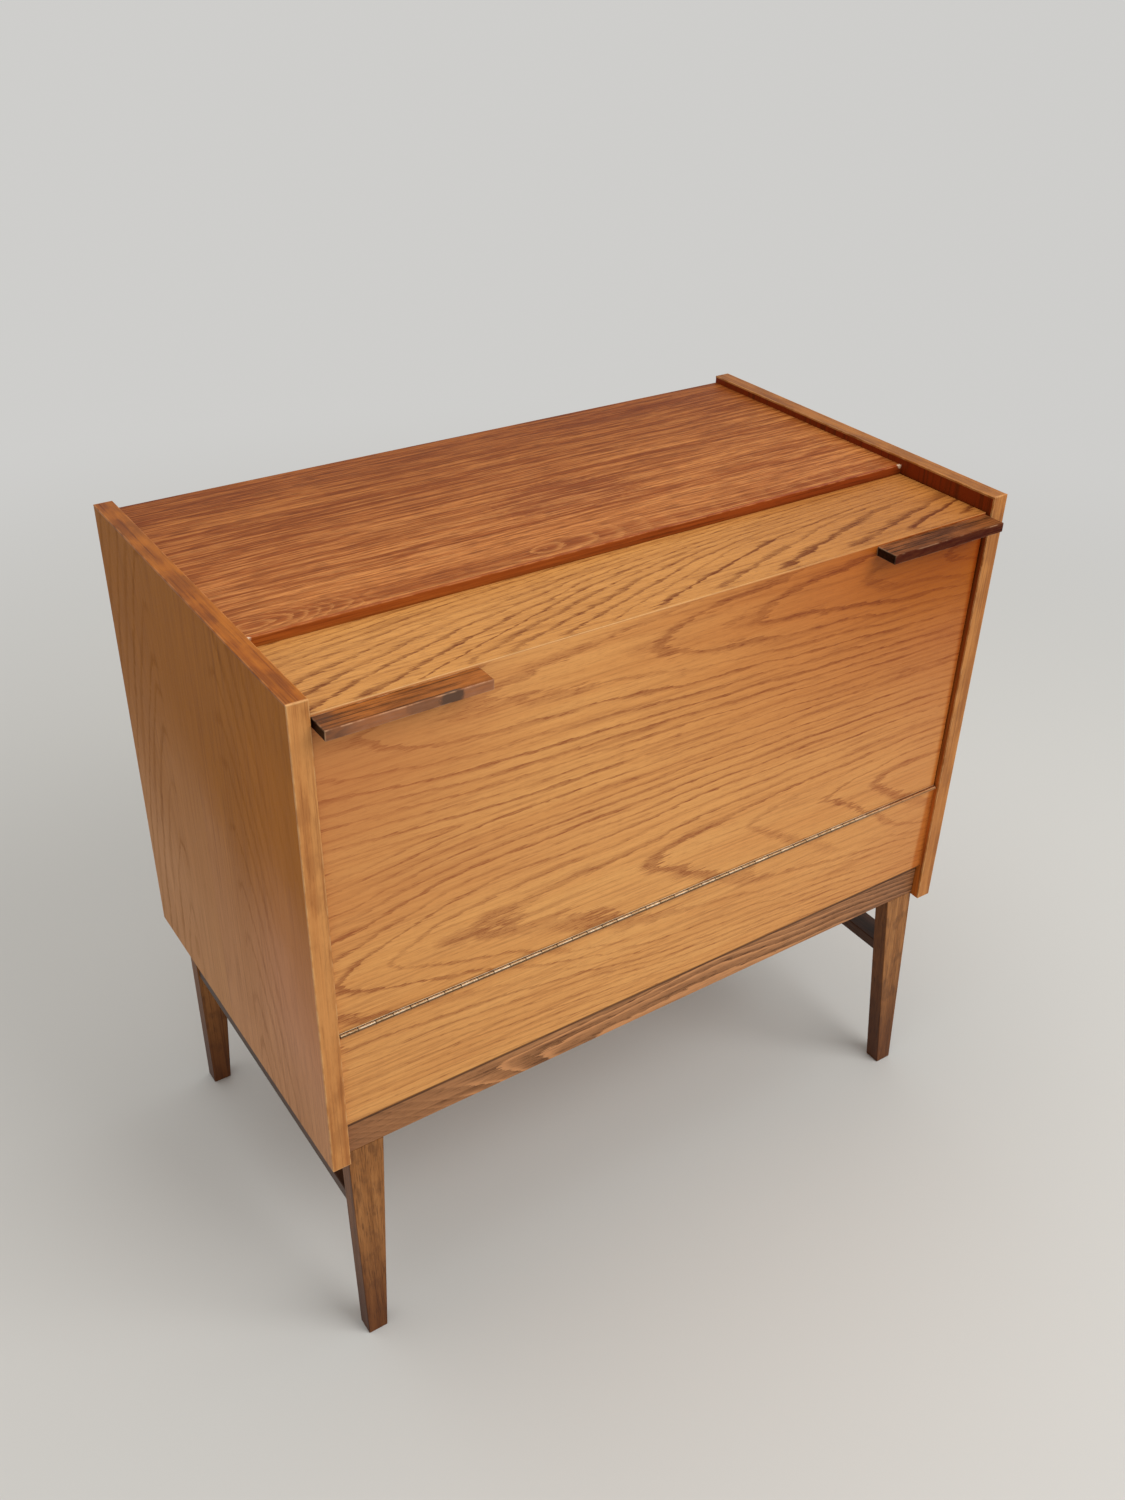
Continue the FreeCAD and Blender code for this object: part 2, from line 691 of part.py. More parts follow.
def glass_shelf():
    board(
        "glass_shelf",
        (f"{DIVIDER_HIGH_X} + glass_gap", GLASS_FRONT, f"{GLASS_TOP} - glass_board"),
        f"{INSIDE} - {DIVIDER_HIGH_X} - 2 * glass_gap",
        f"{GLASS_REAR} - {GLASS_FRONT}",
        "glass_board",
        eased=lambda u, v, w: True,
    )
    zero = ("0", "0", "0")
    rod = primitive(
        "Cylinder", zero, Radius="shelf_pin_radius", Height="shelf_pin_bite + shelf_pin_reach"
    )
    collar = primitive(
        "Cylinder",
        ("0", "0", "shelf_pin_bite"),
        Radius="shelf_pin_collar",
        Height="collar_board",
    )
    places = [((f"{DIVIDER_HIGH_X} - shelf_pin_bite", y, PIN_Z), ALONG_X) for y in PIN_Y]
    places += [((f"{INSIDE} + shelf_pin_bite", y, PIN_Z), AGAINST_X) for y in PIN_Y]
    group("shelf_pins", copies(fuse(rod, collar), places))


# ---------------------------------------------------------------- flap
def flap():
    low = f"{AXIS_Z} + {LEAF_HALF}"
    panel, run = profile_piece(
        "flap_panel",
        ("0", FACE, low),
        FLAP_HALF,
        (
            (f"{FACE} + hinge_seat", low),
            (FLAP_IN, low),
            (FLAP_IN, f"{DECK} - front_board"),
            (f"{FACE} + arris / 2", f"{DECK} - arris / 2"),
            (FACE, f"{DECK} - arris"),
            (FACE, f"{low} + hinge_seat"),
        ),
    )
    strip, strip_run = profile_piece(
        "flap_top_strip",
        ("0", FACE, f"{DECK} - front_board"),
        FLAP_HALF,
        (
            (f"{FACE} + arris / 2", f"{DECK} - arris / 2"),
            (FLAP_IN, f"{DECK} - front_board"),
            (STRIP_REAR, f"{DECK} - front_board"),
            (STRIP_REAR, f"{DECK} - arris"),
            (f"{STRIP_REAR} - arris", DECK),
            (f"{FACE} + arris", DECK),
        ),
    )
    panel.ease(run, "arris", lambda u, v, w: v == 0 and u in (0, 1))
    strip.ease(strip_run, "arris", lambda u, v, w: w == 1 and u in (0, 1))
    depth = "handle_dowel_length - handle_dowel_bite"
    for x in HANDLE_DOWEL_X[-1] + HANDLE_DOWEL_X[1]:
        point = (x, f"{FACE} + {depth}", HANDLE_DOWEL_Z)
        panel.hole(point, AGAINST_Y, "handle_dowel_radius", depth)
        strip.hole(point, AGAINST_Y, "handle_dowel_radius", depth)
    sink_hinge_screws(panel, low, ALONG_Z)
    for x, z in STAY_FOOT_XZ[-1] + STAY_FOOT_XZ[1]:
        point = (x, FLAP_IN, z)
        panel.hole(point, AGAINST_Y, "board_shank", "board_length - stay_foot_board")
    for x, z in STRIKE_XZ[-1] + STRIKE_XZ[1]:
        point = (x, FLAP_IN, z)
        panel.hole(point, AGAINST_Y, "board_shank", "board_length - strike_board")
    profile_piece(
        "flap_glue_block",
        ("0", FLAP_IN, f"{DECK} - front_board"),
        f"{FLAP_HALF} - glue_block_inset",
        (
            (FLAP_IN, f"{DECK} - front_board"),
            (FLAP_IN, f"{DECK} - front_board - glue_block"),
            (f"{FLAP_IN} + glue_block", f"{DECK} - front_board"),
        ),
    )


def handles():
    for name, side in SIDES:
        low_x = span(side, f"{HANDLE_OUT} - handle_length", HANDLE_OUT)
        bar = board(
            f"{name}_handle",
            (low_x, f"{FACE} - handle_depth", f"{DECK} - handle_drop - handle_height"),
            "handle_length",
            "handle_depth",
            "handle_height",
            radius="handle_arris",
            eased=lambda u, v, w: v != 1,
        )
        for x in HANDLE_DOWEL_X[side]:
            point = (x, FACE, HANDLE_DOWEL_Z)
            bar.hole(point, AGAINST_Y, "handle_dowel_radius", "handle_dowel_bite")
    dowel = plain_dowel("handle_dowel_radius", "handle_dowel_length")
    start = f"{FACE} - handle_dowel_bite"
    places = [
        ((x, start, HANDLE_DOWEL_Z), ALONG_Y) for _, side in SIDES for x in HANDLE_DOWEL_X[side]
    ]
    group("handle_dowels", copies(dowel, places))


# ---------------------------------------------------------------- hinge
def sink_hinge_screws(panel, edge_z, turn):
    """Pilot holes for one leaf's screws in the edge of a board."""
    first = panel.hole(
        (HINGE_SCREW_X, HINGE_SCREW_Y, edge_z), turn, "fine_shank", "fine_length - leaf_board"
    )
    panel.repeat([first], "X_Axis", HINGE_SCREW_RUN, "hinge_screws")


def hinge():
    pitch = f"({FLAP_HALF} / knuckle_pairs)"
    for label, first, low, outer, into in (
        ("hinge_flap_leaf", pitch, "leaf_play / 2", "leaf_play / 2", ALONG_Z),
        ("hinge_case_leaf", "0", f"-{LEAF_HALF}", "-leaf_play / 2", AGAINST_Z),
    ):
        start = f"(0 - {FLAP_HALF} + {first} + knuckle_gap / 2)"
        long = f"({pitch} - knuckle_gap)"
        plate_y = f"({AXIS_Y} + knuckle_radius + knuckle_gap)"
        leaf = Piece(label, (f"-{FLAP_HALF}", AXIS_Y, AXIS_Z))
        leaf.feature(
            "AdditiveBox",
            (f"-{FLAP_HALF}", plate_y, f"{AXIS_Z} + {low}"),
            Length=f"2 * {FLAP_HALF}",
            Width=f"{FACE} + leaf_reach - {plate_y}",
            Height="leaf_board",
        )
        row = ("X_Axis", f"2 * {pitch} * (knuckle_pairs - 1)", "knuckle_pairs")
        tab = leaf.feature(
            "AdditiveBox",
            (start, AXIS_Y, f"{AXIS_Z} + {low}"),
            Length=long,
            Width=f"{plate_y} - {AXIS_Y}",
            Height="leaf_board",
        )
        leaf.repeat([tab], *row)
        knuckle = leaf.feature(
            "AdditiveCylinder",
            (start, AXIS_Y, AXIS_Z),
            ALONG_X,
            Radius="knuckle_radius",
            Height=long,
        )
        leaf.repeat([knuckle], *row)
        leaf.feature(
            "SubtractiveCylinder",
            (f"-{FLAP_HALF}", AXIS_Y, AXIS_Z),
            ALONG_X,
            Radius="pin_radius + pin_play",
            Height=f"2 * {FLAP_HALF}",
        )
        sink = leaf.countersink(
            (HINGE_SCREW_X, HINGE_SCREW_Y, f"{AXIS_Z} + {outer}"),
            into,
            "fine_head",
            "fine_shank",
            "leaf_board",
        )
        leaf.repeat([sink], "X_Axis", HINGE_SCREW_RUN, "hinge_screws")
    pin = primitive(
        "Cylinder",
        (f"-{FLAP_HALF}", AXIS_Y, AXIS_Z),
        ALONG_X,
        Radius="pin_radius",
        Height=f"2 * {FLAP_HALF}",
    )
    node(pin, "hinge_pin")
    screw = slotted_screw("fine_shank", "fine_head", "leaf_board", "fine_length")
    row = row_of(int(value_of("hinge_screws")), HINGE_SCREW_X, f"{HINGE_SCREW_X} + {HINGE_SCREW_RUN}")
    for label, z, turn in (
        ("hinge_flap_screws", f"{AXIS_Z} + leaf_play / 2", ALONG_Z),
        ("hinge_case_screws", f"{AXIS_Z} - leaf_play / 2", AGAINST_Z),
    ):
        group(label, copies(screw, [((x, HINGE_SCREW_Y, z), turn) for x in row]))


# ---------------------------------------------------------------- stays, guides, catches
def ring(point, turn, middle, width, height, **more):
    """A flat ring, or part of one, about its own axis."""
    outer = primitive(
        "Cylinder", point, turn, Radius=f"{middle} + ({width}) / 2", Height=height, **more
    )
    inner = primitive("Cylinder", point, turn, Radius=f"{middle} - ({width}) / 2", Height=height)
    return cut(outer, inner)


def stays():
    """Curved stays about the hinge pin: they slide through the guides as the flap turns."""
    rear_reach = f"({GUIDE_REAR} - {AXIS_Y})"
    tail = (
        f"(stay_opening * 1 deg + asin({rear_reach} / stay_radius)"
        " + asin((stop_radius + open_play) / stay_radius))"
    )
    for name, side in SIDES:
        low_x = span(side, f"({STAY_OUT} - stay_board)", STAY_OUT)
        arc = ring(
            (f"{low_x} + stay_board", AXIS_Y, AXIS_Z),
            AGAINST_X,
            "stay_radius",
            "stay_width",
            "stay_board",
            Angle=tail,
        )
        behind_flap = primitive(
            "Box",
            (low_x, f"{AXIS_Y} - stay_width", AXIS_Z),
            Length="stay_board",
            Width=f"{FLAP_IN} - {AXIS_Y} + stay_width",
            Height="stay_radius + stay_width",
        )
        stop = primitive(
            "Cylinder",
            (low_x, f"{AXIS_Y} + stay_radius * sin({tail})", f"{AXIS_Z} + stay_radius * cos({tail})"),
            ALONG_X,
            Radius="stop_radius",
            Height="stay_board",
        )
        foot = primitive(
            "Box",
            (
                span(side, f"({STAY_OUT} - stay_foot_width)", STAY_OUT),
                FLAP_IN,
                f"{AXIS_Z} + stay_radius - stay_foot_height / 2",
            ),
            Length="stay_foot_width",
            Width="stay_foot_board",
            Height="stay_foot_height",
        )
        body = fuse(cut(arc, behind_flap), stop, foot)
        node(drilled_for_screws(body, STAY_FOOT_XZ[side], "stay_foot_board"), f"{name}_stay")
    places = [
        ((x, f"{FLAP_IN} + stay_foot_board", z), AGAINST_Y)
        for _, side in SIDES
        for x, z in STAY_FOOT_XZ[side]
    ]
    group("stay_screws", copies(fitting_screw, places))


def drilled_for_screws(body, points, thickness):
    """Countersunk screw holes through a fitting that lies on the flap's inner face."""
    tools = []
    for x, z in points:
        outer = (x, f"{FLAP_IN} + {thickness}", z)
        tools.append(
            primitive(
                "Cylinder", outer, AGAINST_Y, Radius="board_shank + screw_fit", Height=thickness
            )
        )
        tools.append(
            primitive(
                "Cone",
                outer,
                AGAINST_Y,
                Radius1="board_head + screw_fit",
                Radius2="board_shank + screw_fit",
                Height="board_head_height",
            )
        )
    return cut(body, fuse(*tools))


def guides():
    for name, side in SIDES:
        reach = "(stay_offset + stay_board + slide_play + guide_cheek)"
        block = primitive(
            "Box",
            (span(side, f"({INSIDE} - {reach})", INSIDE), GUIDE_FRONT, f"{GUIDE_MID_Z} - {GUIDE_HALF}"),
            Length=reach,
            Width="guide_length",
            Height=f"2 * {GUIDE_HALF}",
        )
        ears = primitive(
            "Box",
            (
                span(side, f"({INSIDE} - guide_board)", INSIDE),
                GUIDE_FRONT,
                f"{GUIDE_MID_Z} - {GUIDE_HALF} - {GUIDE_EAR}",
            ),
            Length="guide_board",
            Width="guide_length",
            Height=f"2 * ({GUIDE_HALF} + {GUIDE_EAR})",
        )
        slot = ring(
            (
                span(side, f"({STAY_OUT} - stay_board - slide_play)", f"({STAY_OUT} + slide_play)"),
                AXIS_Y,
                AXIS_Z,
            ),
            ALONG_X,
            "stay_radius",
            "stay_width + 2 * slide_play",
            "stay_board + 2 * slide_play",
        )
        tools = [slot]
        face = on_side(side, f"{INSIDE} - guide_board")
        for y, z in GUIDE_YZ:
            tools.append(
                primitive(
                    "Cylinder",
                    (face, y, z),
                    OUTWARD[side],
                    Radius="board_shank + screw_fit",
                    Height="guide_board",
                )
            )
            tools.append(
                primitive(
                    "Cone",
                    (face, y, z),
                    OUTWARD[side],
                    Radius1="board_head + screw_fit",
                    Radius2="board_shank + screw_fit",
                    Height="board_head_height",
                )
            )
        node(cut(fuse(block, ears), fuse(*tools)), f"{name}_stay_guide")
    places = [
        ((on_side(side, f"{INSIDE} - guide_board"), y, z), OUTWARD[side])
        for _, side in SIDES
        for y, z in GUIDE_YZ
    ]
    group("guide_screws", copies(fitting_screw, places))


def side_fitting(label, side, low, width, height, points):
    """A block screwed to a side panel through its whole width."""
    piece = board(
        label,
        (span(side, f"({INSIDE} - cleat_width)", INSIDE), *low),
        "cleat_width",
        width,
        height,
        eased=lambda u, v, w: u == (0 if side > 0 else 1),
    )
    inner = on_side(side, f"{INSIDE} - cleat_width")
    for y, z in points:
        piece.hole((inner, y, z), OUTWARD[side], "board_shank", "cleat_width")
        piece.countersink(
            (inner, y, z), OUTWARD[side], "board_head", "board_shank", "board_head_height"
        )


def cleats_and_catches():
    for name, side in SIDES:
        side_fitting(
            f"{name}_lid_cleat",
            side,
            (CLEAT_FRONT, CLEAT_UNDER),
            f"{CLEAT_REAR} - {CLEAT_FRONT}",
            "cleat_height",
            CLEAT_YZ,
        )
        side_fitting(
            f"{name}_catch",
            side,
            (CATCH_FRONT, CATCH_UNDER),
            "catch_depth",
            "catch_height",
            CATCH_YZ,
        )
        strike = primitive(
            "Box",
            (
                span(
                    side,
                    f"({INSIDE} - catch_width)",
                    f"({INSIDE} - catch_width + {STRIKE_WIDTH})",
                ),
                FLAP_IN,
                CATCH_UNDER,
            ),
            Length=STRIKE_WIDTH,
            Width="strike_board",
            Height="catch_height",
        )
        plate = drilled_for_screws(strike, STRIKE_XZ[side], "strike_board")
        node(plate, f"{name}_strike_plate")
    long_screw = slotted_screw("board_shank", "board_head", "board_head_height", "long_length")
    places = [
        ((on_side(side, f"{INSIDE} - cleat_width"), y, z), OUTWARD[side])
        for _, side in SIDES
        for y, z in CLEAT_YZ + CATCH_YZ
    ]
    group("cleat_and_catch_screws", copies(long_screw, places))
    places = [
        ((x, f"{FLAP_IN} + strike_board", z), AGAINST_Y)
        for _, side in SIDES
        for x, z in STRIKE_XZ[side]
    ]
    group("strike_screws", copies(fitting_screw, places))


# ---------------------------------------------------------------- stand
LEG_HEAD_DOWELS = ("stand_dowel_inset", "(leg_head - stand_dowel_inset)")
STUB_DOWELS = ("stub_dowel_inset", "(stretcher_width - stub_dowel_inset)")
STRETCHER_TOP = "(stretcher_lift + stretcher_height)"
STUB_Z = "(stretcher_lift + stretcher_height / 2)"
REAR_LEG_FRONT = f"({REAR_RAIL_BACK} - rail_board)"


def front_leg_back(height):
    """y of a front leg's rear face at a height above the floor."""
    lean = f"leg_splay * ({RAIL_UNDER} - {height}) / {RAIL_UNDER}"
    return f"({FRONT} + rail_set + rail_board - {lean})"


def leg_dowel_points(side, rail_mid):
    return [(on_side(side, f"{STAND_HALF} - {inset}"), rail_mid) for inset in LEG_HEAD_DOWELS]


def stub_x(side):
    return [on_side(side, f"{STAND_HALF} - stretcher_set - {inset}") for inset in STUB_DOWELS]


def rails():
    for label, front, middle in (
        ("front_rail", f"{FRONT} + rail_set", FRONT_RAIL_MID),
        ("rear_rail", REAR_LEG_FRONT, REAR_RAIL_MID),
    ):
        rail = board(
            label,
            (f"-{STAND_HALF}", front, RAIL_UNDER),
            f"2 * {STAND_HALF}",
            "rail_board",
            "rail_height",
            radius="leg_arris",
            eased=lambda u, v, w: w == 0 and v in (0, 1),
        )
        for x in STAND_SCREW_X:
            rail.hole((x, middle, RAIL_UNDER), ALONG_Z, "stand_head", "stand_counterbore")
            rail.hole((x, middle, RAIL_UNDER), ALONG_Z, "stand_shank", "rail_height")
            seat = (x, middle, f"{RAIL_UNDER} + stand_counterbore")
            rail.countersink(seat, ALONG_Z, "stand_head", "stand_shank", "stand_head_height")
        for _, side in SIDES:
            for x, y in leg_dowel_points(side, middle):
                point = (x, y, RAIL_UNDER)
                rail.hole(point, ALONG_Z, "stand_dowel_radius", "stand_dowel_length / 2")
    screw = slotted_screw("stand_shank", "stand_head", "stand_head_height", "stand_length")
    places = [
        ((x, y, f"{RAIL_UNDER} + stand_counterbore"), ALONG_Z)
        for x in STAND_SCREW_X
        for y in (FRONT_RAIL_MID, REAR_RAIL_MID)
    ]
    group("stand_screws", copies(screw, places))


def leg(label, side, top_y, low_depth, high_depth, lean, middle, stub_y, stub_turn):
    """A leg that narrows on its inner side; a front leg also leans forward."""
    piece = Piece(label, (on_side(side, STAND_HALF), top_y, "0"))
    inner, outer = ("Xmin", "Xmax") if side > 0 else ("Xmax", "Xmin")
    block = piece.body.newObject("PartDesign::AdditiveWedge", "Taper")
    sizes = {
        inner: on_side(-side, "leg_foot"),
        outer: "0",
        inner.replace("X", "X2"): on_side(-side, "leg_head"),
        outer.replace("X", "X2"): "0",
        "Ymin": "0",
        "Ymax": RAIL_UNDER,
        "Zmin": f"{low_depth} + {lean}",
        "Zmax": f"{high_depth} + {lean}",
        "Z2min": low_depth,
        "Z2max": high_depth,
    }
    for prop in ("Xmin", "X2min", "Zmin", "Z2min"):
        setattr(block, prop, value_of(sizes[prop]))
    for prop, text in sizes.items():
        bind(block, prop, text)
    block.Placement = Placement(Vector(), AGAINST_Y)
    piece.ease(block, "leg_arris", lambda u, v, w: w < 0.9)
    for x, y in leg_dowel_points(side, middle):
        point = (x, y, RAIL_UNDER)
        piece.hole(point, AGAINST_Z, "stand_dowel_radius", "stand_dowel_length / 2")
    for x in stub_x(side):
        lead = f"{stub_y} + bore_lead" if stub_turn == AGAINST_Y else f"{stub_y} - bore_lead"
        point = (x, lead, STUB_Z)
        piece.hole(point, stub_turn, "stand_dowel_radius", "stub_dowel_bite + bore_lead")


def legs():
    for name, side in SIDES:
        front_y = f"({FRONT} + rail_set)"
        back = front_leg_back(STUB_Z)
        leg(
            f"front_{name}_leg",
            side,
            front_y,
            "-rail_board",
            "0",
            "leg_splay",
            FRONT_RAIL_MID,
            back,
            AGAINST_Y,
        )
        leg(
            f"rear_{name}_leg",
            side,
            REAR_RAIL_BACK,
            "0",
            "rail_board",
            "0",
            REAR_RAIL_MID,
            REAR_LEG_FRONT,
            ALONG_Y,
        )
    places = [
        ((x, y, f"{RAIL_UNDER} - stand_dowel_length / 2"), ALONG_Z)
        for _, side in SIDES
        for middle in (FRONT_RAIL_MID, REAR_RAIL_MID)
        for x, y in leg_dowel_points(side, middle)
    ]
    dowel = plain_dowel("stand_dowel_radius", "stand_dowel_length")
    group("leg_dowels", copies(dowel, places))


def stretchers():
    for name, side in SIDES:
        middle_x = on_side(side, f"{STAND_HALF} - stretcher_set - stretcher_width / 2")
        bar, run = profile_piece(
            f"{name}_stretcher",
            (middle_x, REAR_LEG_FRONT, "stretcher_lift"),
            "stretcher_width / 2",
            (
                (front_leg_back("stretcher_lift"), "stretcher_lift"),
                (REAR_LEG_FRONT, "stretcher_lift"),
                (REAR_LEG_FRONT, STRETCHER_TOP),
                (front_leg_back(STRETCHER_TOP), STRETCHER_TOP),
            ),
        )
        bar.ease(run, "leg_arris", lambda u, v, w: u in (0, 1) and w in (0, 1))
        depth = "stub_dowel_length - stub_dowel_bite + bore_lead"
        for x in stub_x(side):
            front = (x, f"{front_leg_back(STUB_Z)} - bore_lead", STUB_Z)
            bar.hole(front, ALONG_Y, "stand_dowel_radius", depth)
            rear = (x, f"{REAR_LEG_FRONT} + bore_lead", STUB_Z)
            bar.hole(rear, AGAINST_Y, "stand_dowel_radius", depth)
    dowel = plain_dowel("stand_dowel_radius", "stub_dowel_length")
    places = []
    for _, side in SIDES:
        for x in stub_x(side):
            front_y = f"{front_leg_back(STUB_Z)} - stub_dowel_bite"
            places.append(((x, front_y, STUB_Z), ALONG_Y))
            places.append(((x, f"{REAR_LEG_FRONT} + stub_dowel_bite", STUB_Z), AGAINST_Y))
    group("stretcher_dowels", copies(dowel, places))


# ---------------------------------------------------------------- build and write
fitting_screw = slotted_screw("board_shank", "board_head", "board_head_height", "board_length")
side_panels()
top_panel()
case_floor()
lower_front_panel()
back()
case_dowels()
divider()
glass_shelf()
flap()
handles()
hinge()
stays()
guides()
cleats_and_catches()
rails()
legs()
stretchers()
doc.recompute()

for item in doc.Objects:
    if "Invalid" in item.State or "Error" in item.State:
        raise RuntimeError(f"{item.Label}: {item.State}")
for item in nodes:
    if item.Shape.isNull() or not item.Shape.isValid():
        raise RuntimeError(f"{item.Label}: no valid shape")

os.makedirs("parts", exist_ok=True)
for item in nodes:
    item.Shape.exportStep(f"parts/{item.Label}.step")
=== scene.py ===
"""Looks of a drop-front drinks cabinet: oak and teak veneers on a stained stand, in studio light.

Everything is in metres in the cabinet's own frame: -Y is the front, +Z up, the floor at zero.
Shares and strengths run from 0 to 1, and so do the parts of a colour outside srgb(). Stains and
painted shades are colours that the wood under them is multiplied by.
"""

import math

import bpy
from mathutils import Matrix, Vector


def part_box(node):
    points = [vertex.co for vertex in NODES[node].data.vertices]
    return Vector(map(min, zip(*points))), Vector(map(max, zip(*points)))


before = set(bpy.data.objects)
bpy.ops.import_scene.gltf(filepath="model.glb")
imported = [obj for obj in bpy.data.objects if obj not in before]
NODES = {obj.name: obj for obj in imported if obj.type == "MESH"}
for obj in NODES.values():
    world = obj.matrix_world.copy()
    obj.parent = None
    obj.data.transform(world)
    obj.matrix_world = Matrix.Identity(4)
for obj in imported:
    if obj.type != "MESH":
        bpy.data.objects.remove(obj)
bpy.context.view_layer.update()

# ---------------------------------------------------------------- places taken from the cabinet
FLAP_LOW, FLAP_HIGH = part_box("flap_panel")
STRIP_LOW, STRIP_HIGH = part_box("flap_top_strip")
SIDE_LOW, SIDE_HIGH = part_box("left_side_panel")
TOP_LOW, TOP_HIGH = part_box("top_panel")
PIN_LOW, PIN_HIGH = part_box("hinge_pin")
HINGE_HEIGHT = (PIN_LOW.z + PIN_HIGH.z) / 2
LIP_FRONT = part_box("top_panel_lipping")[0].y
LOWER_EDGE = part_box("lower_front_panel")[0].z
RAIL_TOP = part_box("front_rail")[1].z
LEG_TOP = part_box("front_left_leg")[1].z
HALF_WIDTH = -SIDE_LOW.x
HALF_INSIDE = -SIDE_HIGH.x


# ---------------------------------------------------------------- shader arithmetic
class Field:
    """A number or vector that varies over a surface, with ordinary arithmetic."""

    def __init__(self, nodes, socket):
        self.nodes = nodes
        self.socket = socket

    def __add__(self, other):
        return self.nodes.math("ADD", self, other)

    def __sub__(self, other):
        return self.nodes.math("SUBTRACT", self, other)

    def __rsub__(self, other):
        return self.nodes.math("SUBTRACT", other, self)

    def __mul__(self, other):
        return self.nodes.math("MULTIPLY", self, other)

    def __truediv__(self, other):
        return self.nodes.math("DIVIDE", self, other)

    def __neg__(self):
        return self.nodes.math("MULTIPLY", self, -1.0)

    def length_with(self, other):
        """The long side of the right triangle that this and another number make."""
        return self.nodes.math("SQRT", self * self + other * other)

    def absolute(self):
        return self.nodes.math("ABSOLUTE", self)

    def whole(self):
        return self.nodes.math("FLOOR", self)

    def fraction(self):
        return self.nodes.math("FRACT", self)

    def clamped(self):
        return self.nodes.math("ADD", self, 0.0, clamp=True)

    def smoothly(self, low, high, to_low=0.0, to_high=1.0):
        """This number eased from one range to another and held at the ends."""
        return self.nodes.map_range(self, low, high, to_low, to_high)

    def fading(self, low, high):
        """1 up to low, eased down to 0 at high."""
        return self.smoothly(low, high, 1.0, 0.0)


class Nodes:
    """Short calls that add nodes to one shader tree."""

    def __init__(self, tree):
        self.tree = tree
        tree.nodes.clear()

    def add(self, kind, **settings):
        node = self.tree.nodes.new(f"ShaderNode{kind}")
        for name, value in settings.items():
            setattr(node, name, value)
        return node

    def feed(self, socket, value):
        if isinstance(value, Field):
            self.tree.links.new(value.socket, socket)
        elif isinstance(value, bpy.types.NodeSocket):
            self.tree.links.new(value, socket)
        else:
            socket.default_value = value

    def math(self, operation, *values, clamp=False):
        node = self.add("Math", operation=operation, use_clamp=clamp)
        for socket, value in zip(node.inputs, values):
            self.feed(socket, value)
        return Field(self, node.outputs[0])

    def lesser(self, first, second):
        return self.math("MINIMUM", first, second)

    def greater(self, first, second):
        return self.math("MAXIMUM", first, second)

    def smooth_least(self, first, second, blend):
        return self.math("SMOOTH_MIN", first, second, blend)

    def map_range(self, value, low, high, to_low, to_high):
        node = self.add("MapRange", interpolation_type="SMOOTHSTEP")
        names = ("Value", "From Min", "From Max", "To Min", "To Max")
        for name, given in zip(names, (value, low, high, to_low, to_high)):
            self.feed(node.inputs[name], given)
        return Field(self, node.outputs[0])

    def join(self, x, y, z):
        node = self.add("CombineXYZ")
        for socket, value in zip(node.inputs, (x, y, z)):
            self.feed(socket, value)
        return Field(self, node.outputs[0])

    def place(self):
        """The surface point's x, y and z in metres, in the cabinet's frame at rest."""
        node = self.add("SeparateXYZ")
        self.feed(node.inputs[0], self.add("TexCoord").outputs["Object"])
        return [Field(self, socket) for socket in node.outputs]

    def facing(self):
        """Which way the surface faces, as x, y and z parts in the cabinet's frame at rest."""
        node = self.add("SeparateXYZ")
        self.feed(node.inputs[0], self.add("TexCoord").outputs["Normal"])
        return [Field(self, socket) for socket in node.outputs]

    def noise(self, vector, detail=2.0, roughness=0.5):
        node = self.add("TexNoise")
        self.feed(node.inputs["Vector"], vector)
        node.inputs["Scale"].default_value = 1.0
        node.inputs["Detail"].default_value = detail
        node.inputs["Roughness"].default_value = roughness
        return Field(self, node.outputs[0])

    def white_noise(self, value):
        node = self.add("TexWhiteNoise", noise_dimensions="1D")
        self.feed(node.inputs["W"], value)
        return Field(self, node.outputs["Value"])

    def curve(self, value, points):
        """A smooth curve through points whose two numbers both lie between 0 and 1."""
        node = self.add("FloatCurve")
        self.feed(node.inputs["Value"], value)
        line = node.mapping.curves[0]
        for _ in points[2:]:
            line.points.new(0.5, 0.5)
        for point, (across, up) in zip(line.points, points):
            point.location = (across, up)
            point.handle_type = "AUTO_CLAMPED"
        node.mapping.update()
        return Field(self, node.outputs[0])

    def mix(self, factor, first, second, blend="MIX"):
        node = self.add("Mix", data_type="RGBA", blend_type=blend)
        self.feed(node.inputs["Factor"], factor)
        self.feed(node.inputs[6], first)
        self.feed(node.inputs[7], second)
        return node.outputs[2]

    def multiply_tint(self, factor, colour, tint):
        """Multiply the colour by a tint as far as factor says; stains and painted shades use it.
        """
        return self.mix(factor, colour, tint, blend="MULTIPLY")

    def bump(self, height, distance):
        node = self.add("Bump")
        self.feed(node.inputs["Height"], height)
        node.inputs["Distance"].default_value = distance
        return node.outputs[0]


def srgb(red, green, blue):
    """A colour given as 0 to 255 display values."""
    def linear(value):
        share = value / 255
        return share / 12.92 if share <= 0.04045 else ((share + 0.055) / 1.055) ** 2.4

    return (linear(red), linear(green), linear(blue), 1.0)


def lighter(colour, share=1.16):
    return tuple(min(1.0, part * share) for part in colour[:3]) + (1.0,)


def new_material(name):
    material = bpy.data.materials.new(name)
    material.use_nodes = True
    return material, Nodes(material.node_tree)


def finish_material(nodes, colour, roughness, normal=None, **constants):
    """Close a tree with one principled shader; constants stay on its own sockets."""
    shader = nodes.add("BsdfPrincipled")
    nodes.feed(shader.inputs["Base Color"], colour)
    nodes.feed(shader.inputs["Roughness"], roughness)
    if normal:
        nodes.feed(shader.inputs["Normal"], normal)
    for name, value in constants.items():
        shader.inputs[name.replace("_", " ")].default_value = value
    output = nodes.add("OutputMaterial")
    nodes.feed(output.inputs["Surface"], shader.outputs[0])


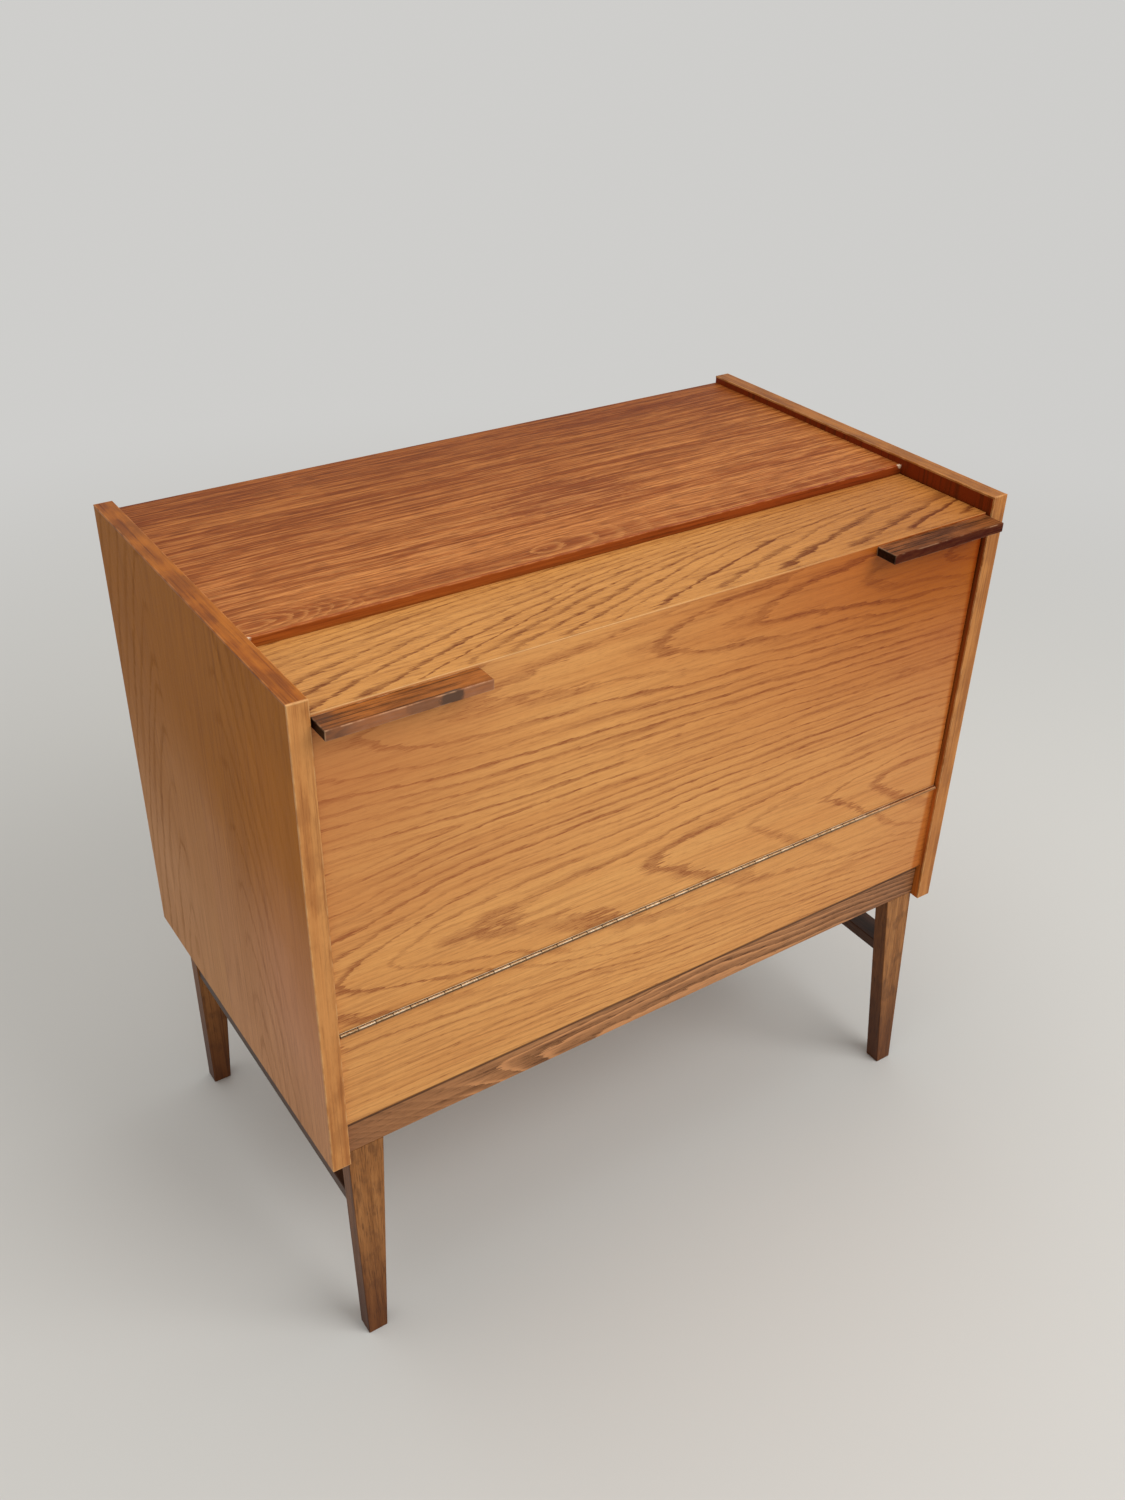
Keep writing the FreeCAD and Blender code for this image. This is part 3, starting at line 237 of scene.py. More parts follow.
def dress(material, *names):
    """Give CAD nodes a material in place of the plain one they came with."""
    for name in names:
        slots = NODES[name].data.materials
        slots.clear()
        slots.append(material)


# ---------------------------------------------------------------- wood
BAND_SHARE = 0.25
SLANT_REACH = 0.03
REACH_BLEND = 0.02
USUAL_SWELLING = 1.3


def heart(nodes, along, across, through, centre, apexes, spacing, first_ring, lean=0.0, bow=0.0,
          low_share=1.0, low_reach=1.0, low_extra=0.0, low_slant=0.0, low_slant_reach=1.0,
          high_slant=0.0, tip_radius=0.002):
    """Growth rings cut flat about a heart line: their tips point down the board's length.

    centre, lean and bow place the heart line across the board. Each apex is where a ring's tip
    crosses it, with the length of its dark band. Rings leave the heart in a V, blunted by
    tip_radius, whose arms run slant metres along for each metre across, as far as low_slant_reach
    and SLANT_REACH. On the low side they also spread: low_share narrows distances, and low_extra
    adds to them beyond low_reach. The result counts rings outwards.
    """
    points = []
    for ring, (at, band) in enumerate(apexes):
        points += [(at - band, ring), (at, ring + BAND_SHARE)]
    start, end = points[0][0], points[-1][0]
    count = points[-1][1]
    first_inner = first_ring - 1.0 + BAND_SHARE
    off = across - centre - along * lean - along * along * bow
    low = nodes.greater(-off, 0.0)
    high = nodes.greater(off, 0.0)
    low_arm = low * low / (low + tip_radius)
    high_arm = high * high / (high + tip_radius)
    arm = nodes.smooth_least(low_arm, low_slant_reach, REACH_BLEND) * low_slant
    arm = arm + nodes.smooth_least(high_arm, SLANT_REACH, REACH_BLEND) * high_slant
    share = (along - arm - start) / (end - start)
    shape = [((at - start) / (end - start), rings / count) for at, rings in points]
    held = share.clamped()
    rings_in = (nodes.curve(held, shape) + (share - held)) * count
    depth = (first_inner - rings_in) * spacing + through
    spread = low * low_share + nodes.greater(low - low_reach, 0.0) * low_extra
    return (high + spread).length_with(depth) / spacing


def ragged(nodes, along, across, through, amount):
    """The place along the board, shifted strand by strand so that ring edges look torn."""
    strands = nodes.noise(
        nodes.join(along * 34.0, across * 620.0, through * 620.0), roughness=0.6
    )
    return along + (strands - 0.5) * amount


def wandering(nodes, rings, along, across, through, seed, amount):
    """Rings bent off their course, slowly and then strand by strand."""
    slow = nodes.noise(nodes.join(along * 4.0 + seed, across * 16.0, through * 16.0), detail=3.0)
    quick = nodes.noise(nodes.join(along * 15.0, across * 80.0 + seed, through * 80.0), detail=4.0)
    strands = nodes.noise(nodes.join(along * 50.0 + seed, across * 420.0, through * 420.0))
    return rings + (slow - 0.5) * amount + (quick - 0.5) * (amount * 0.7) + (strands - 0.5) * 0.4


def ring_lines(nodes, rings, along, width, seed, swelling=USUAL_SWELLING):
    """Dark early wood: a sharp inner edge on each ring, fading outwards, swelling in places."""
    phase = rings.fraction()
    ring = rings.whole() + seed
    swell = nodes.noise(nodes.join(along * 14.0, rings * 0.9, seed + 3.0), detail=3.0)
    swollen = swell.smoothly(0.36, 0.66, 0.5, swelling)
    reach = (swollen + nodes.white_noise(ring + 0.5) * 0.4) * width
    line = phase.fading(reach * 0.25, reach)
    line = nodes.greater(line, phase.smoothly(0.95, 1.0))
    strength = nodes.white_noise((rings + 0.05).whole() + seed) * 0.45 + 0.55
    patches = nodes.noise(nodes.join(along * 7.0, rings * 0.6, seed), detail=3.0)
    return line * strength * patches.smoothly(0.34, 0.56, 0.5, 1.0)


def pores(nodes, along, across, through, low=0.54, high=0.68, fine=1.0):
    """Short dark strokes along the grain, larger ones among fine ones."""
    large, small = (
        nodes.noise(nodes.join(along * long, across * wide, through * wide), detail=detail)
        for long, wide, detail in (
            (60.0 * fine, 820.0 * fine, 2.0), (170.0 * fine, 2100.0 * fine, 1.0),
        )
    )
    return large.smoothly(low, high) * 0.6 + small.smoothly(low, high) * 0.4


def streaks(nodes, along, across, through, seed, wide=60.0, long=2.5, detail=5.0):
    """Long soft bands along the grain."""
    vector = nodes.join(along * long + seed, across * wide, through * wide)
    return nodes.noise(vector, detail=detail, roughness=0.6)


def oak(name, seed, rings_of, figure_share, finish, place_of, pale, tone, line, line_width,
        wander, gloss_level, line_depth=1.0, torn=0.016, roughness=0.42, stroke=0.3, fibre=0.3,
        swelling=USUAL_SWELLING, rim=0.0):
    """Flat-cut wood under satin lacquer.

    rings_of counts the growth rings, figure_share says how strongly they show from place to
    place, and finish adds what is particular to one board. place_of turns the axes along the
    grain. torn and wander roughen the rings, stroke and fibre set how dark the pores and fibres
    are, and rim brightens the outer edge of every ring.
    """
    material, nodes = new_material(name)
    x, y, z = nodes.place()
    along, across, through = place_of(x, y, z)
    rings = rings_of(nodes, ragged(nodes, along, across, through, torn), across, through)
    rings = wandering(nodes, rings, along, across, through, seed, wander)
    shown = figure_share(x, y, z)
    lines = ring_lines(nodes, rings, along, line_width, seed, swelling) * shown
    pore = pores(nodes, along, across, through)
    band = streaks(nodes, along, across, through, seed)
    narrow = streaks(nodes, along, across, through, seed + 4.0, wide=300.0, long=10.0, detail=4.0)
    cloud = nodes.noise(nodes.join(along * 2.2 + seed, across * 3.0, through))
    colour = nodes.mix(band.smoothly(0.3, 0.7) * 0.5 + cloud.smoothly(0.35, 0.7) * 0.3, pale, tone)
    dark = (lines * (pore * 0.6 + 0.6) * line_depth + pore * stroke).clamped()
    dark = (dark + narrow.smoothly(0.5, 0.68) * fibre).clamped()
    colour = nodes.mix(narrow.smoothly(0.5, 0.34) * fibre, colour, lighter(pale))
    colour = nodes.mix(dark, colour, line)
    if rim:
        bright = rings.fraction().smoothly(0.62, 0.93) * shown
        colour = nodes.mix(bright * (band * 0.6 + 0.7) * rim, colour, lighter(pale, 1.5))
    colour = finish(nodes, colour, x, y, z)
    height = lines * -0.4 - pore * 0.6
    gloss = lines * 0.12 + cloud * 0.08 + (roughness - 0.04)
    finish_material(
        nodes, colour, gloss, nodes.bump(height, 0.00014), Specular_IOR_Level=gloss_level
    )
    return material


def solid_wood(name, seed, place_of, pale, tone, line, roughness=0.45, streak_width=90.0,
               streak_length=3.0, line_depth=0.6, gloss_level=0.28, finish=None):
    """Straight-grained wood: fine streaks and pores with no ring figure."""
    material, nodes = new_material(name)
    x, y, z = nodes.place()
    along, across, through = place_of(x, y, z)
    broad = streaks(nodes, along, across, through, seed, wide=streak_width, long=streak_length)
    narrow = streaks(nodes, along, across, through, seed + 7.0, wide=streak_width * 5.0, long=9.0)
    pore = pores(nodes, along, across, through)
    colour = nodes.mix(broad.smoothly(0.34, 0.66), pale, tone)
    dark = (narrow.smoothly(0.5, 0.68) * line_depth + pore * 0.3).clamped()
    colour = nodes.mix(narrow.smoothly(0.5, 0.34) * 0.35, colour, lighter(pale))
    colour = nodes.mix(dark, colour, line)
    if finish:
        colour = finish(nodes, colour, x, y, z)
    height = narrow * -0.4 - pore * 0.6
    gloss = broad * 0.10 + (roughness - 0.05)
    finish_material(
        nodes, colour, gloss, nodes.bump(height, 0.0001), Specular_IOR_Level=gloss_level
    )
    return material


def edge_distance(nodes, x, y, z, name):
    """How far a surface point is from the nearest edge of a node's box, in metres."""
    low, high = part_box(name)
    depths = [
        nodes.lesser(value - start, end - value).absolute()
        for value, start, end in zip((x, y, z), low, high)
    ]
    lesser = nodes.lesser(depths[0], depths[1])
    greater = nodes.greater(depths[0], depths[1])
    return nodes.greater(lesser, nodes.lesser(greater, depths[2]))


def worn_edges(nodes, colour, x, y, z, name, bare, reach=0.0016, amount=0.7):
    """Edges rubbed back to paler wood in patches."""
    edge = edge_distance(nodes, x, y, z, name).fading(reach * 0.2, reach)
    rub = nodes.noise(nodes.join(x * 60.0, y * 60.0, z * 60.0), detail=4.0)
    return nodes.mix(edge * rub.smoothly(0.4, 0.6) * amount, colour, bare)


def spot(nodes, x, y, z, centre, size):
    """A soft-edged patch about a point: 1 inside, 0 outside, its outline broken up."""
    parts = [((value - at) / half).absolute() for value, at, half in zip((x, y, z), centre, size)]
    radius = nodes.math("SQRT", parts[0] * parts[0] + parts[1] * parts[1] + parts[2] * parts[2])
    rough = nodes.noise(nodes.join(x * 220.0, y * 220.0, z * 220.0), detail=3.0)
    return (radius + (rough - 0.5) * 0.8).fading(0.7, 1.1)


# ---------------------------------------------------------------- boards along each axis
def along_x(x, y, z):
    return x, z, y


def along_x_flat(x, y, z):
    return x, y, z


def upright_facing_side(x, y, z):
    return z, y, x


def upright_facing_front(x, y, z):
    return z, x, y


def along_y_flat(x, y, z):
    return y, x, z


# ---------------------------------------------------------------- the front: one sheet of veneer
RING = 0.0085
LOW_HEART = dict(
    centre=0.4754, lean=-0.0326, bow=-0.062, first_ring=11.0, spacing=RING,
    low_share=0.2, low_reach=0.075, low_extra=1.0, high_slant=1.3,
    apexes=(
        (-0.372, 0.010), (-0.318, 0.012), (-0.198, 0.055), (-0.037, 0.013), (0.099, 0.014),
        (0.212, 0.014), (0.279, 0.012), (0.400, 0.012),
    ),
)
HIGH_HEART = dict(
    centre=0.7265, first_ring=11.0, spacing=RING, low_slant=0.6, high_slant=2.0,
    apexes=(
        (-0.336, 0.020), (-0.215, 0.050), (-0.040, 0.014), (0.086, 0.014), (0.215, 0.012),
        (0.330, 0.012),
    ),
)
HEART_BLEND = 1.2
REDDER_OAK = srgb(186, 112, 62)
CORNER_PAINTED_SHADE = (0.57, 0.25, 0.0, 1.0)
TOP_RIGHT_PAINTED_SHADE = (0.88, 0.86, 0.25, 1.0)
RIGHT_EDGE_PAINTED_SHADE = (0.76, 0.46, 0.12, 1.0)
RUBBED_OAK = srgb(194, 134, 80)
DARK_LINE_AND_PAINTED_SHADE = srgb(92, 54, 26)
PAINTED_KNUCKLE_HIGHLIGHT = srgb(255, 240, 212)


def front_rings(nodes, along, across, through):
    """Two hearts, one above the other; the left-hand tips of the lower one are round."""
    depth = through - FLAP_LOW.y
    slant = along.smoothly(-0.32, 0.24, 3.2, 1.5)
    blunt = along.smoothly(-0.36, -0.20, 0.022, 0.004)
    low = heart(nodes, along, across, depth, low_slant=slant, tip_radius=blunt, **LOW_HEART)
    high = heart(nodes, along, across, depth, **HIGH_HEART)
    return nodes.smooth_least(low, high, HEART_BLEND)


def front_tones(nodes, colour, x, z):
    """Redder at both ends, with painted shade in the top right corner and along the right end; the
    upper edge is rubbed.
    """
    left_warmth = x.smoothly(-0.38, -0.1, 0.62, 0.0) * z.smoothly(0.5, 0.7)
    middle_height = z.smoothly(0.49, 0.54) * z.fading(0.56, 0.61)
    middle_warmth = middle_height * x.smoothly(-0.2, 0.1, 0.2, 0.0)
    right_warmth = x.smoothly(-0.1, 0.38) * 0.17 + x.smoothly(0.24, 0.38) * 0.24
    colour = nodes.mix(right_warmth + left_warmth + middle_warmth, colour, REDDER_OAK)
    # Painted shade: the top right corner darkened and reddened as under the right handle and
    # beside the right side panel.
    corner = x.smoothly(-0.24, 0.36) * z.smoothly(0.44, 0.80)
    colour = nodes.multiply_tint(corner, colour, CORNER_PAINTED_SHADE)
    # Painted shade, deepest just under the right handle.
    top_right = x.smoothly(0.16, 0.38) * z.smoothly(0.62, 0.72) * 0.8
    colour = nodes.multiply_tint(top_right, colour, TOP_RIGHT_PAINTED_SHADE)
    # Painted shadow of the right side panel: a stripe along the right end that widens downwards.
    edge = x - z.smoothly(0.30, 0.47, FLAP_HIGH.x - 0.014, FLAP_HIGH.x - 0.007)
    colour = nodes.multiply_tint(edge.smoothly(-0.001, 0.005) * 0.8, colour, RIGHT_EDGE_PAINTED_SHADE)
    fold = z.smoothly(FLAP_HIGH.z - 0.0010, FLAP_HIGH.z - 0.0003) * x.smoothly(-0.1, 0.3, 1.0, 0.6)
    return nodes.mix(fold, colour, RUBBED_OAK)


def front_finish(nodes, colour, x, y, z):
    """The tones; above the hinge a dark line and a painted highlight, below it painted shade, and
    a painted shadow at the lower panel's bottom edge.
    """
    colour = front_tones(nodes, colour, x, z)
    rise = z - HINGE_HEIGHT
    dark_line = rise.smoothly(0.0024, 0.0032) * rise.smoothly(0.0044, 0.0052, 0.3, 0.0)
    colour = nodes.mix(dark_line, colour, DARK_LINE_AND_PAINTED_SHADE)
    # Painted highlight: brass colour on the flap just above the hinge stands in for the lit tops
    # of the knuckles, in dashes and dimmer towards the right.
    dashes = nodes.noise(nodes.join(x * 90.0, 0.0, 0.0), detail=3.0).smoothly(0.35, 0.6, 0.55, 1.0)
    bright_line = rise.fading(0.0020, 0.0030) * rise.smoothly(0.0, 0.001)
    tarnish = x.smoothly(0.24, 0.34, 1.0, 0.3)
    colour = nodes.mix(bright_line * dashes * tarnish, colour, PAINTED_KNUCKLE_HIGHLIGHT)
    # Painted shade on the lower panel just under the knuckles, and a painted shadow along its
    # bottom edge above the rail.
    below = rise.smoothly(-0.0026, -0.0016, 0.0, 0.3) * rise.fading(-0.001, 0.0)
    low_edge = z.smoothly(LOWER_EDGE + 0.0008, LOWER_EDGE + 0.0026, 0.85, 0.0)
    return nodes.mix(nodes.greater(below, low_edge), colour, DARK_LINE_AND_PAINTED_SHADE)


def front_figure_share(x, y, z):
    """The figure is fainter below the hinge."""
    return z.smoothly(HINGE_HEIGHT - 0.002, HINGE_HEIGHT, 0.68, 1.0)


front_veneer = oak(
    "front_veneer_oak", 3.0, front_rings, front_figure_share, front_finish, along_x,
    srgb(226, 164, 96), srgb(210, 143, 79), srgb(146, 80, 44),
    line_width=0.31, wander=0.7, gloss_level=0.12,
)
dress(front_veneer, "flap_panel", "lower_front_panel")


# ---------------------------------------------------------------- the flap's top strip
STRIP_HEART = dict(
    centre=-0.007, lean=-0.012, first_ring=13.5, spacing=RING,
    low_share=0.25, low_reach=0.055, low_extra=1.4, low_slant=3.2, low_slant_reach=0.06,
    apexes=(
        (-0.349, 0.020), (-0.289, 0.016), (-0.254, 0.012), (-0.204, 0.012), (-0.150, 0.016),
        (-0.099, 0.018), (-0.059, 0.014), (0.006, 0.020), (0.071, 0.014), (0.171, 0.026),
        (0.266, 0.018), (0.336, 0.026),
    ),
)
STRIP_RIGHT_STAIN = (0.74, 0.60, 0.46, 1.0)


def strip_place(x, y, z):
    """Places on the strip are counted back from its front edge and down over the fold."""
    return x, (STRIP_LOW.y - y) + (STRIP_HIGH.z - z), STRIP_HIGH.z - z


def strip_rings(nodes, along, across, through):
    return heart(nodes, along, across, through * 0.2, **STRIP_HEART)


def strip_figure_share(x, y, z):
    """Bold figure near the front edge, fainter straight grain behind and ahead of the heart."""
    back = y - STRIP_LOW.y
    ahead = (back - x * 0.012 - 0.007).smoothly(-0.002, 0.001, 0.25, 1.0)
    return back.smoothly(0.02, 0.11, 1.0, 0.55) * ahead


def strip_finish(nodes, colour, x, y, z):
    """Redder towards the right, with a pale arris along the fold towards the left."""
    colour = nodes.multiply_tint(x.smoothly(0.0, 0.37) * 0.85, colour, STRIP_RIGHT_STAIN)
    low_edge = z.fading(STRIP_HIGH.z - 0.0012, STRIP_HIGH.z - 0.0003)
    fold = (y - STRIP_LOW.y).fading(0.0004, 0.0014) * (1.0 - low_edge)
    return nodes.mix(fold * x.smoothly(-0.1, 0.3, 0.4, 0.05), colour, srgb(226, 186, 130))


strip_veneer = oak(
    "strip_veneer_oak", 13.0, strip_rings, strip_figure_share, strip_finish, strip_place,
    srgb(205, 144, 77), srgb(182, 120, 58), srgb(112, 54, 16),
    line_width=0.33, wander=0.7, gloss_level=0.12, line_depth=1.5, torn=0.014, stroke=0.5,
    fibre=0.35, swelling=1.4,
)
dress(strip_veneer, "flap_top_strip")


# ---------------------------------------------------------------- side panels
LEAF_JOINT = 0.027
LEAF_HEART = 0.090
REAR_TIPS = (-0.777, -0.720, -0.661, -0.629, -0.579, -0.519, -0.440, -0.354, -0.300)
FRONT_TIPS = (-0.731, -0.684, -0.639, -0.570, -0.500, -0.439, -0.360, -0.300)
RINGS_APART = 20.0
REAR_LEAF_OAK = srgb(190, 136, 78)
FRONT_PAINTED_LIGHT = srgb(232, 166, 140)
UPPER_PAINTED_SHADE = (0.69, 0.49, 0.07, 1.0)


def side_rings(nodes, along, across, through):
    """Two book-matched leaves: mirrored about their joint, tips up, flanks on the outside.

    RINGS_APART keeps the rings of one leaf from being numbered, and so varied, like the other's.
    """
    out = (across - LEAF_JOINT).absolute()
    depth = (through.absolute() - HALF_WIDTH) * 0.5
    leaves = []
    for tips in (REAR_TIPS, FRONT_TIPS):
        apexes = tuple((tip, 0.008) for tip in tips)
        leaves.append(heart(
            nodes, -along, -out, depth, centre=-LEAF_HEART, apexes=apexes, spacing=0.012,
            first_ring=9.0, low_share=0.45, low_slant=2.1,
        ))
    behind = nodes.math("GREATER_THAN", across, LEAF_JOINT)
    return leaves[0] * behind + (leaves[1] + RINGS_APART) * (1.0 - behind)


def side_figure_share(x, y, z):
    """The figure shows only outwards of each leaf's heart; towards the joint the wood is plain."""
    behind_joint = y - LEAF_JOINT
    outer = behind_joint.absolute().smoothly(LEAF_HEART - 0.022, LEAF_HEART - 0.004, 0.04, 1.0)
    fainter_front = behind_joint.smoothly(-0.19, -0.16, 0.25, 0.75)
    bolder_rear = behind_joint.smoothly(-0.02, 0.02, 0.0, 0.25)
    return outer * (fainter_front + bolder_rear)


def inner_face(nodes, x, y, z):
    """The faces towards the inside: deep red-brown, partly stain and partly painted shade with
    painted red light from the teak, near black-red in painted shade at the top, and plainer
    indoors.
    """
    grain = streaks(nodes, z, y, x, 17.0, wide=190.0, long=7.0, detail=3.0)
    deep = nodes.mix(z.smoothly(0.36, 0.7), srgb(196, 104, 32), srgb(140, 60, 22))
    # Painted shade near the top edge.
    deep = nodes.mix(z.smoothly(0.735, 0.762), deep, srgb(116, 34, 6))
    deep = nodes.mix(grain.smoothly(0.48, 0.66) * 0.6, deep, srgb(66, 18, 4))
    indoors = y.smoothly(FLAP_LOW.y + 0.010, FLAP_LOW.y + 0.06) * z.fading(0.749, 0.752)
    plain = nodes.mix(grain.smoothly(0.4, 0.64), srgb(176, 118, 70), srgb(146, 88, 48))
    return nodes.mix(indoors, deep, plain)


def side_finish(nodes, colour, x, y, z):
    """Outside, the rear leaf is yellower, painted reflected light makes the front edge paler and
    painted shade makes the upper part richer.
    """
    rear_leaf = y.smoothly(LEAF_JOINT - 0.0004, LEAF_JOINT + 0.0004)
    colour = nodes.mix(rear_leaf * 0.25, colour, REAR_LEAF_OAK)
    drift = nodes.noise(nodes.join(y * 5.0, z * 5.0, 3.0))
    ahead = y.fading(-0.17, -0.03)
    # Painted reflected light, paler towards the front edge and fading at the top and bottom.
    glow = ahead * z.smoothly(0.68, 0.74, 0.32, 0.12) * z.smoothly(0.28, 0.45, 0.1, 1.0)
    colour = nodes.mix(glow, colour, FRONT_PAINTED_LIGHT)
    # Painted shade: the upper part darker and richer, the lower part left lighter as by light
    # reflected from the floor.
    upper = (z + y * -0.2 - ahead * 0.03 + (drift - 0.5) * 0.2).smoothly(0.30, 0.66)
    colour = nodes.multiply_tint(upper, colour, UPPER_PAINTED_SHADE)
    inner = x.absolute().fading(HALF_INSIDE + 0.0004, HALF_INSIDE + 0.0012)
    return nodes.mix(inner * 0.92, colour, inner_face(nodes, x, y, z))


side_veneer = oak(
    "side_veneer_oak", 11.0, side_rings, side_figure_share, side_finish, upright_facing_side,
    srgb(200, 144, 100), srgb(174, 120, 78), srgb(118, 70, 42),
    line_width=0.35, wander=0.35, gloss_level=0.08, line_depth=0.65, torn=0.02, roughness=0.52,
    stroke=0.24,
)
dress(side_veneer, "left_side_panel", "right_side_panel")


LIPPING_REAR_PAINTED_SHADE = (0.6, 0.55, 0.6, 1.0)


def lipping(name, seed, place_of, node, pale, tone, line, bare, rear_shade=0.0):
    """One solid lipping: mottled, rubbed along its arrises and darker towards the rear in painted
    shade.
    """
    def finish(nodes, colour, x, y, z):
        # Painted shade towards the rear.
        rear = y.smoothly(SIDE_LOW.y, SIDE_HIGH.y) * rear_shade
        colour = nodes.multiply_tint(rear, colour, LIPPING_REAR_PAINTED_SHADE)
        mottle = nodes.noise(nodes.join(x * 55.0, y * 22.0, z * 22.0 + seed), detail=4.0)
        colour = nodes.mix(mottle.smoothly(0.48, 0.62) * 0.35, colour, line)
        colour = nodes.mix(mottle.smoothly(0.5, 0.36) * 0.3, colour, lighter(pale))
        return worn_edges(nodes, colour, x, y, z, node, bare, amount=0.5)

    wood = solid_wood(name, seed, place_of, pale, tone, line, gloss_level=0.16, finish=finish)
    dress(wood, node)


lipping(
    "front_lipping_oak_left", 21.0, upright_facing_front, "left_front_lipping",
    srgb(205, 142, 80), srgb(187, 120, 62), srgb(146, 88, 44), srgb(226, 178, 120),
)
lipping(
    "front_lipping_oak_right", 23.0, upright_facing_front, "right_front_lipping",
    srgb(192, 128, 66), srgb(172, 106, 50), srgb(132, 76, 34), srgb(216, 164, 106),
)
lipping(
    "top_lipping_left", 31.0, along_y_flat, "left_top_lipping",
    srgb(182, 106, 24), srgb(150, 78, 12), srgb(92, 42, 4), srgb(200, 132, 72), rear_shade=0.8,
)
lipping(
    "top_lipping_right", 33.0, along_y_flat, "right_top_lipping",
    srgb(168, 106, 46), srgb(144, 82, 30), srgb(100, 52, 18), srgb(206, 148, 90), rear_shade=0.1,
)


# ---------------------------------------------------------------- fixed top
FRONT_FIGURE = dict(
    centre=TOP_LOW.y + 0.016, first_ring=6.0, spacing=0.008, low_slant=1.0, high_slant=1.6,
    tip_radius=0.008,
)
LEFT_TIPS = (0.288, 0.300, 0.312, 0.326, 0.344, 0.364)
MIDDLE_TIPS = (-0.225, -0.196, -0.176, -0.152, -0.085, -0.066, -0.046, -0.010)
FIGURE_SPLIT = -0.262
DARK_PATCH = ((0.02, 0.032, TOP_HIGH.z), (0.090, 0.045, 0.05))
REAR_PAINTED_SHADE = (0.74, 0.66, 0.52, 1.0)
BACK_EDGE_PAINTED_SHADE = (0.83, 0.75, 0.72, 1.0)


def teak_figure(nodes, x, y, z, seed):
    """Rings of the two small figures at the front edge: one points left, the other right."""
    torn = ragged(nodes, x, y, z, 0.008)
    facing = [
        heart(nodes, place, y, 0.0, apexes=tuple((tip, 0.006) for tip in tips), **FRONT_FIGURE)
        for place, tips in ((-torn, LEFT_TIPS), (torn, MIDDLE_TIPS))
    ]
    left = nodes.math("LESS_THAN", x, FIGURE_SPLIT)
    figure = facing[0] * left + facing[1] * (1.0 - left)
    return wandering(nodes, figure, x, y, z, seed, 0.9)


def teak(name, seed):
    """Red-brown teak: long soft bands, dark veins, a little figure at the front edge and painted
    shade towards the rear.
    """
    material, nodes = new_material(name)
    x, y, z = nodes.place()
    sway = nodes.noise(nodes.join(x * 5.0, y * 9.0, seed))
    across = y + (sway - 0.5) * 0.012
    broad = streaks(nodes, x, across, z, seed, wide=76.0, long=1.0, detail=4.0)
    veins = streaks(nodes, x, across, z, seed + 5.0, wide=300.0, long=3.2, detail=4.0)
    fine = streaks(nodes, x, across, z, seed + 9.0, wide=420.0, long=14.0, detail=3.0)
    pore = pores(nodes, x, y, z, 0.48, 0.62, fine=0.6)
    cloud = nodes.noise(nodes.join(x * 4.0 + seed, y * 7.0, z), detail=3.0)
    colour = nodes.mix(broad.smoothly(0.40, 0.62), srgb(195, 121, 61), srgb(160, 87, 37))
    colour = nodes.mix(veins.smoothly(0.48, 0.62) * 0.55, colour, srgb(126, 60, 16))
    colour = nodes.mix(cloud.smoothly(0.45, 0.7) * 0.35, colour, srgb(150, 74, 30))
    patch = spot(nodes, x, y, z, *DARK_PATCH) * 0.6
    colour = nodes.mix(patch, colour, srgb(128, 56, 18))
    figure = teak_figure(nodes, x, y, z, seed)
    left_part = x.smoothly(-0.1, 0.12, 1.0, 0.2)
    near_front = y.fading(TOP_LOW.y + 0.014, TOP_LOW.y + 0.05) * left_part
    lines = ring_lines(nodes, figure, x, 0.5, seed) * near_front
    calm = 1.0 - near_front * 0.5
    colour = nodes.mix(fine.smoothly(0.5, 0.6) * calm * 0.5, colour, srgb(214, 144, 80))
    colour = nodes.mix(fine.smoothly(0.5, 0.4) * calm * 0.5, colour, srgb(118, 54, 12))
    colour = nodes.mix(lines * 0.35, colour, srgb(126, 62, 24))
    pale = figure.fraction().smoothly(0.5, 0.9) * near_front * cloud.smoothly(0.36, 0.56)
    colour = nodes.mix(pale * 0.5, colour, srgb(212, 144, 80))
    colour = nodes.mix(pore * 0.5, colour, srgb(84, 34, 4))
    # Painted shade: darker towards the rear, most of all along the back edge.
    colour = nodes.multiply_tint(y.smoothly(TOP_LOW.y + 0.02, TOP_HIGH.y), colour, REAR_PAINTED_SHADE)
    back_edge = y.smoothly(TOP_HIGH.y - 0.065, TOP_HIGH.y - 0.035)
    colour = nodes.multiply_tint(back_edge, colour, BACK_EDGE_PAINTED_SHADE)
    height = fine * 0.4 - pore * 0.6
    finish_material(
        nodes, colour, broad * 0.1 + 0.42, nodes.bump(height, 0.0001), Specular_IOR_Level=0.08
    )
    return material


LIP_RIGHT_PAINTED_SHADE = (0.60, 0.40, 0.38, 1.0)


def chipped_ends(nodes, colour, x, y, z):
    """Pale chips where the strip of teak meets the side panels, a rubbed edge, and painted shade
    towards the right.
    """
    # Painted shade, darker towards the right-hand side panel.
    colour = nodes.multiply_tint(x.smoothly(-0.3, 0.34), colour, LIP_RIGHT_PAINTED_SHADE)
    colour = worn_edges(nodes, colour, x, y, z, "top_panel_lipping", srgb(186, 112, 60), 0.0014)
    reach = x.smoothly(-0.1, 0.1, 0.0085, 0.006)
    corner = (TOP_HIGH.x, LIP_FRONT, TOP_HIGH.z)
    end = spot(nodes, x.absolute(), y, z, corner, (reach, 0.0035, 0.004))
    return nodes.mix(end, colour, srgb(226, 200, 170))


dress(teak("top_veneer_teak", 41.0), "top_panel")
dress(
    solid_wood(
        "top_edge_teak", 43.0, along_x_flat,
        srgb(178, 96, 36), srgb(150, 74, 25), srgb(100, 44, 12),
        gloss_level=0.1, finish=chipped_ends,
    ),
    "top_panel_lipping",
)

# ---------------------------------------------------------------- handles
HANDLE_MARKS = ((0.74, 0.012, 0.85), (0.57, 0.016, 0.35))


